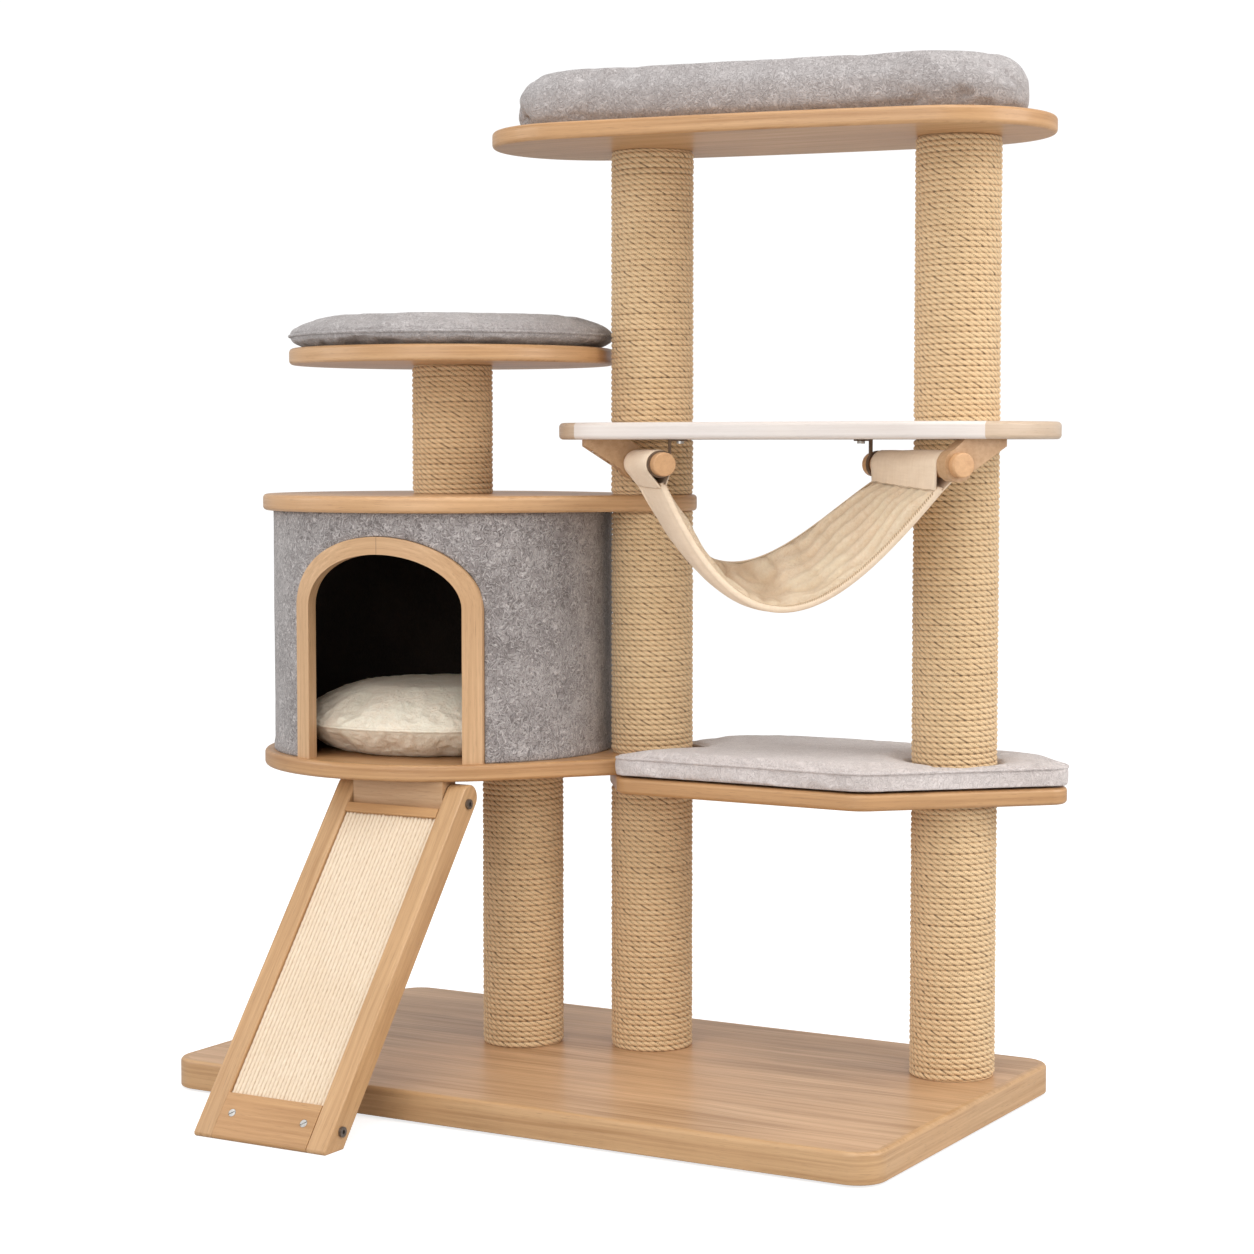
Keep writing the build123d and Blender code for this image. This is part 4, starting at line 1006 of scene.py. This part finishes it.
def sling():
    """The padded bed of the hammock: fleece face, canvas back."""
    cols, rows = 150, 46
    lo, hi = 0.008, 0.978
    upper, lower, uv, hollow_shade = [], [], [], []
    for i in range(cols + 1):
        f = lo + (hi - lo) * i / cols
        for j in range(rows + 1):
            g = j / rows
            p = hang_point(f, g)
            along, across, up = hang_frame(f, g)
            slack = 0.0012 * noise.noise(p * 40)
            # The second value is the amount of painted crease shade.
            height, depth = fullness(f, g)
            upper.append(p + up * (height + slack))
            hollow_shade.append(depth)
            belly = 0.0040 * math.sin(math.pi * min(1.0, 5 * g, 5 * (1 - g)) / 2)
            back = 0.0014 + belly * min(1.0, 8 * f, 8 * (1 - f)) + 0.0012 * noise.noise(p * 22)
            lower.append(p - up * max(0.0008, back))
            uv.append((f * BED_LONG, g * BED_WIDE))
    count = len(upper)
    width = rows + 1
    faces = grid_faces(cols + 1, width)
    faces += [tuple(count + k for k in face[::-1]) for face in grid_faces(cols + 1, width)]
    for i in range(cols):
        for j in (0, rows):
            a, b = i * width + j, (i + 1) * width + j
            faces.append((a, b, count + b, count + a))
    for j in range(rows):
        for i in (0, cols):
            a, b = i * width + j, i * width + j + 1
            faces.append((a, b, count + b, count + a))
    piece = made("hammock_sling", upper + lower, faces, [mat_fleece, mat_canvas])
    outward(piece)
    for poly in piece.data.polygons:
        poly.material_index = 0 if max(poly.vertices) < count else 1
    uv_from_points(piece.data, "Weave", uv + uv)
    # Painted crease shade for the fleece face; the canvas back gets none.
    float_layer(piece.data, "hollow_shade", hollow_shade + [0.0] * count)
    return piece


def loop(spar, first):
    """Canvas sleeve round a dowel, closing to a stitched seam on the sling."""
    rows, arc_steps, leg_steps = 30, 26, 10
    points, uv = [], []
    seam = []
    for j in range(rows + 1):
        g = j / rows
        f = LOOP_LEFT if first else 1 - LOOP_RIGHT
        centre = spar.in_sleeve(g)
        along, across, up = hang_frame(f, g)
        inward = -spar.side
        lift = fullness(f, g)[0]
        tip = hang_point(f, g)
        tip_in = tip + up * (lift + 0.0012)
        tip_out = tip - up * 0.0032

        def local(p):
            d = p - centre
            return d.dot(inward), d.z, d.dot(spar.back)

        def leg(p, turn):
            """Angle where a straight leg from p touches the round of the dowel."""
            x, z, _ = local(p)
            far = math.hypot(x, z)
            return math.atan2(z, x) + turn * math.acos(min(1, LOOP_R / far))

        start, stop = leg(tip_in, 1), leg(tip_out, -1)
        while stop < start:
            stop += 2 * math.pi
        ring = []
        for k in range(arc_steps + 1):
            a = start + (stop - start) * k / arc_steps
            ring.append(centre + inward * LOOP_R * math.cos(a) + Vector((0, 0, LOOP_R * math.sin(a))))
        legs_in = [tip_in.lerp(ring[0], k / leg_steps) for k in range(leg_steps)]
        legs_out = [ring[-1].lerp(tip_out, k / leg_steps) for k in range(1, leg_steps + 1)]
        path = legs_in + ring + legs_out
        run = 0.0
        for k, p in enumerate(path):
            if k:
                run += (p - path[k - 1]).length
            soft = 0.0007 * noise.noise(Vector((run * 40, g * 5, spar.front.x * 90)))
            away = (p - centre).normalized()
            points.append(p + away * soft)
            uv.append((run, g * BED_WIDE))
        seam.append((tip_in, across, up))
    width = len(points) // (rows + 1)
    piece = made(
        "hammock_loop_" + ("left" if first else "right"), points, grid_faces(rows + 1, width), mat_canvas
    )
    uv_from_points(piece.data, "Weave", uv)
    skin = piece.modifiers.new("thickness", "SOLIDIFY")
    skin.thickness = 0.0016
    skin.offset = 0.0
    return piece, seam, uv[width - 1][0]


bed_cloth = sling()
loop_left, seam_left, run_left = loop(LEFT, True)
loop_right, seam_right, run_right = loop(RIGHT, False)


def rim_path(g, lift, out, steps=120):
    """Path along the front or back edge of the sling."""
    path = []
    for k in range(steps + 1):
        f = 0.012 + 0.962 * k / steps
        along, across, up = hang_frame(f, g)
        path.append(hang_point(f, g) + up * lift + across * (out if g else -out))
    return path


def hem(name, g):
    points, faces = tube(rim_path(g, 0.0006, 0.0005), 0.0030, 10, False, 1.35)
    piece = made(name, points, faces, mat_canvas)
    outward(piece)
    uv_from_points(piece.data, "Weave", [(p[0] * 1.2, p[1] + p[2]) for p in points])
    return piece


hems = [hem("hammock_hem_front", 0.0), hem("hammock_hem_back", 1.0)]
RIM_STITCHES = 150
rim_spots = []
for g in (0.0, 1.0):
    for k in range(RIM_STITCHES):
        f = 0.025 + 0.935 * (k + 0.5) / RIM_STITCHES
        along, across, up = hang_frame(f, g)
        inside = across if g == 0.0 else -across
        mid = hang_point(f, g) + up * 0.0040 + inside * 0.0008
        rim_spots.append((mid, inside * 0.9 + along * 0.6, up - inside))
rim_stitches = stitches(
    "hammock_rim_stitching", rim_spots, 0.0046, 0.0011, mat_thread
)
seam_spots = []
for seam in (seam_left, seam_right):
    for (a, across, up), (b, _, _) in zip(seam, seam[1:]):
        for share in (0.25, 0.75):
            seam_spots.append((a.lerp(b, share) + up * 0.0012, across, up))
seam_stitches = stitches(
    "hammock_loop_stitching", seam_spots, 0.0022, 0.0005, mat_thread
)
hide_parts("hammock_cloth")


# ---------- floor, light and camera
FLOOR_REACH = 9.0
WORLD_LIGHT, WORLD_SEEN = 0.58, 1.05
CAMERA_AT, CAMERA_PITCH, CAMERA_TURN = (1.6653, -2.8574, 0.7812), 86.243, 29.9


def studio_floor():
    """A white floor that looks pure white to the camera but throws only a little light back."""
    corners = [(-FLOOR_REACH, -FLOOR_REACH, 0), (FLOOR_REACH, -FLOOR_REACH, 0)]
    corners += [(FLOOR_REACH, FLOOR_REACH, 0), (-FLOOR_REACH, FLOOR_REACH, 0)]
    floor = made("studio_floor", corners, [(0, 1, 2, 3)], [])
    s = Shader("studio floor", Roughness=0.9, Specular_IOR_Level=0.1)
    s.bsdf.inputs["Base Color"].default_value = (0.54, 0.54, 0.54, 1)
    s.bsdf.inputs["Emission Color"].default_value = (1, 1, 1, 1)
    seen = s.node("LightPath").outputs["Is Camera Ray"]
    s.set("Emission Strength", s.spread(seen, 0.0, 1.0, 0.05, 0.75))
    floor.data.materials.append(s.mat)
    floor.parent = None
    del floor["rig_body"]


def softbox(name, at, aim, size, watts, tint=(1, 1, 1)):
    lamp = bpy.data.lights.new(name, "AREA")
    lamp.shape = "SQUARE"
    lamp.size = size
    lamp.energy = watts
    lamp.color = tint
    holder = bpy.data.objects.new(name, lamp)
    bpy.context.scene.collection.objects.link(holder)
    holder.location = at
    holder.rotation_euler = (Vector(aim) - Vector(at)).to_track_quat("-Z", "Y").to_euler()


studio_floor()
AIM = (0.1, 0.0, 0.6)
softbox("right box", (3.3, 0.4, 1.9), AIM, 2.2, 58, (1.0, 0.985, 0.965))
softbox("left box", (-2.6, -1.9, 1.5), AIM, 1.8, 20, (0.98, 0.99, 1.0))
softbox("front box", (0.7, -3.7, 1.7), AIM, 2.6, 46)
softbox("top box", (0.7, -0.9, 3.7), AIM, 3.0, 54)

world = bpy.data.worlds.new("studio")
bpy.context.scene.world = world
world.use_nodes = True
backdrop = world.node_tree.nodes["Background"]
backdrop.inputs["Color"].default_value = (1, 1, 1, 1)
seen = world.node_tree.nodes.new("ShaderNodeLightPath").outputs["Is Camera Ray"]
brightness = world.node_tree.nodes.new("ShaderNodeMapRange")
world.node_tree.links.new(seen, brightness.inputs["Value"])
brightness.inputs["To Min"].default_value = WORLD_LIGHT
brightness.inputs["To Max"].default_value = WORLD_SEEN
world.node_tree.links.new(brightness.outputs["Result"], backdrop.inputs["Strength"])

lens = bpy.data.cameras.new("camera")
camera = bpy.data.objects.new("camera", lens)
bpy.context.scene.collection.objects.link(camera)
camera.location = CAMERA_AT
camera.rotation_euler = (math.radians(CAMERA_PITCH), 0, math.radians(CAMERA_TURN))
lens.lens = 79.1
lens.sensor_width = 36.0
lens.clip_end = 60.0
bpy.context.scene.camera = camera
bpy.context.scene.view_settings.view_transform = "Standard"
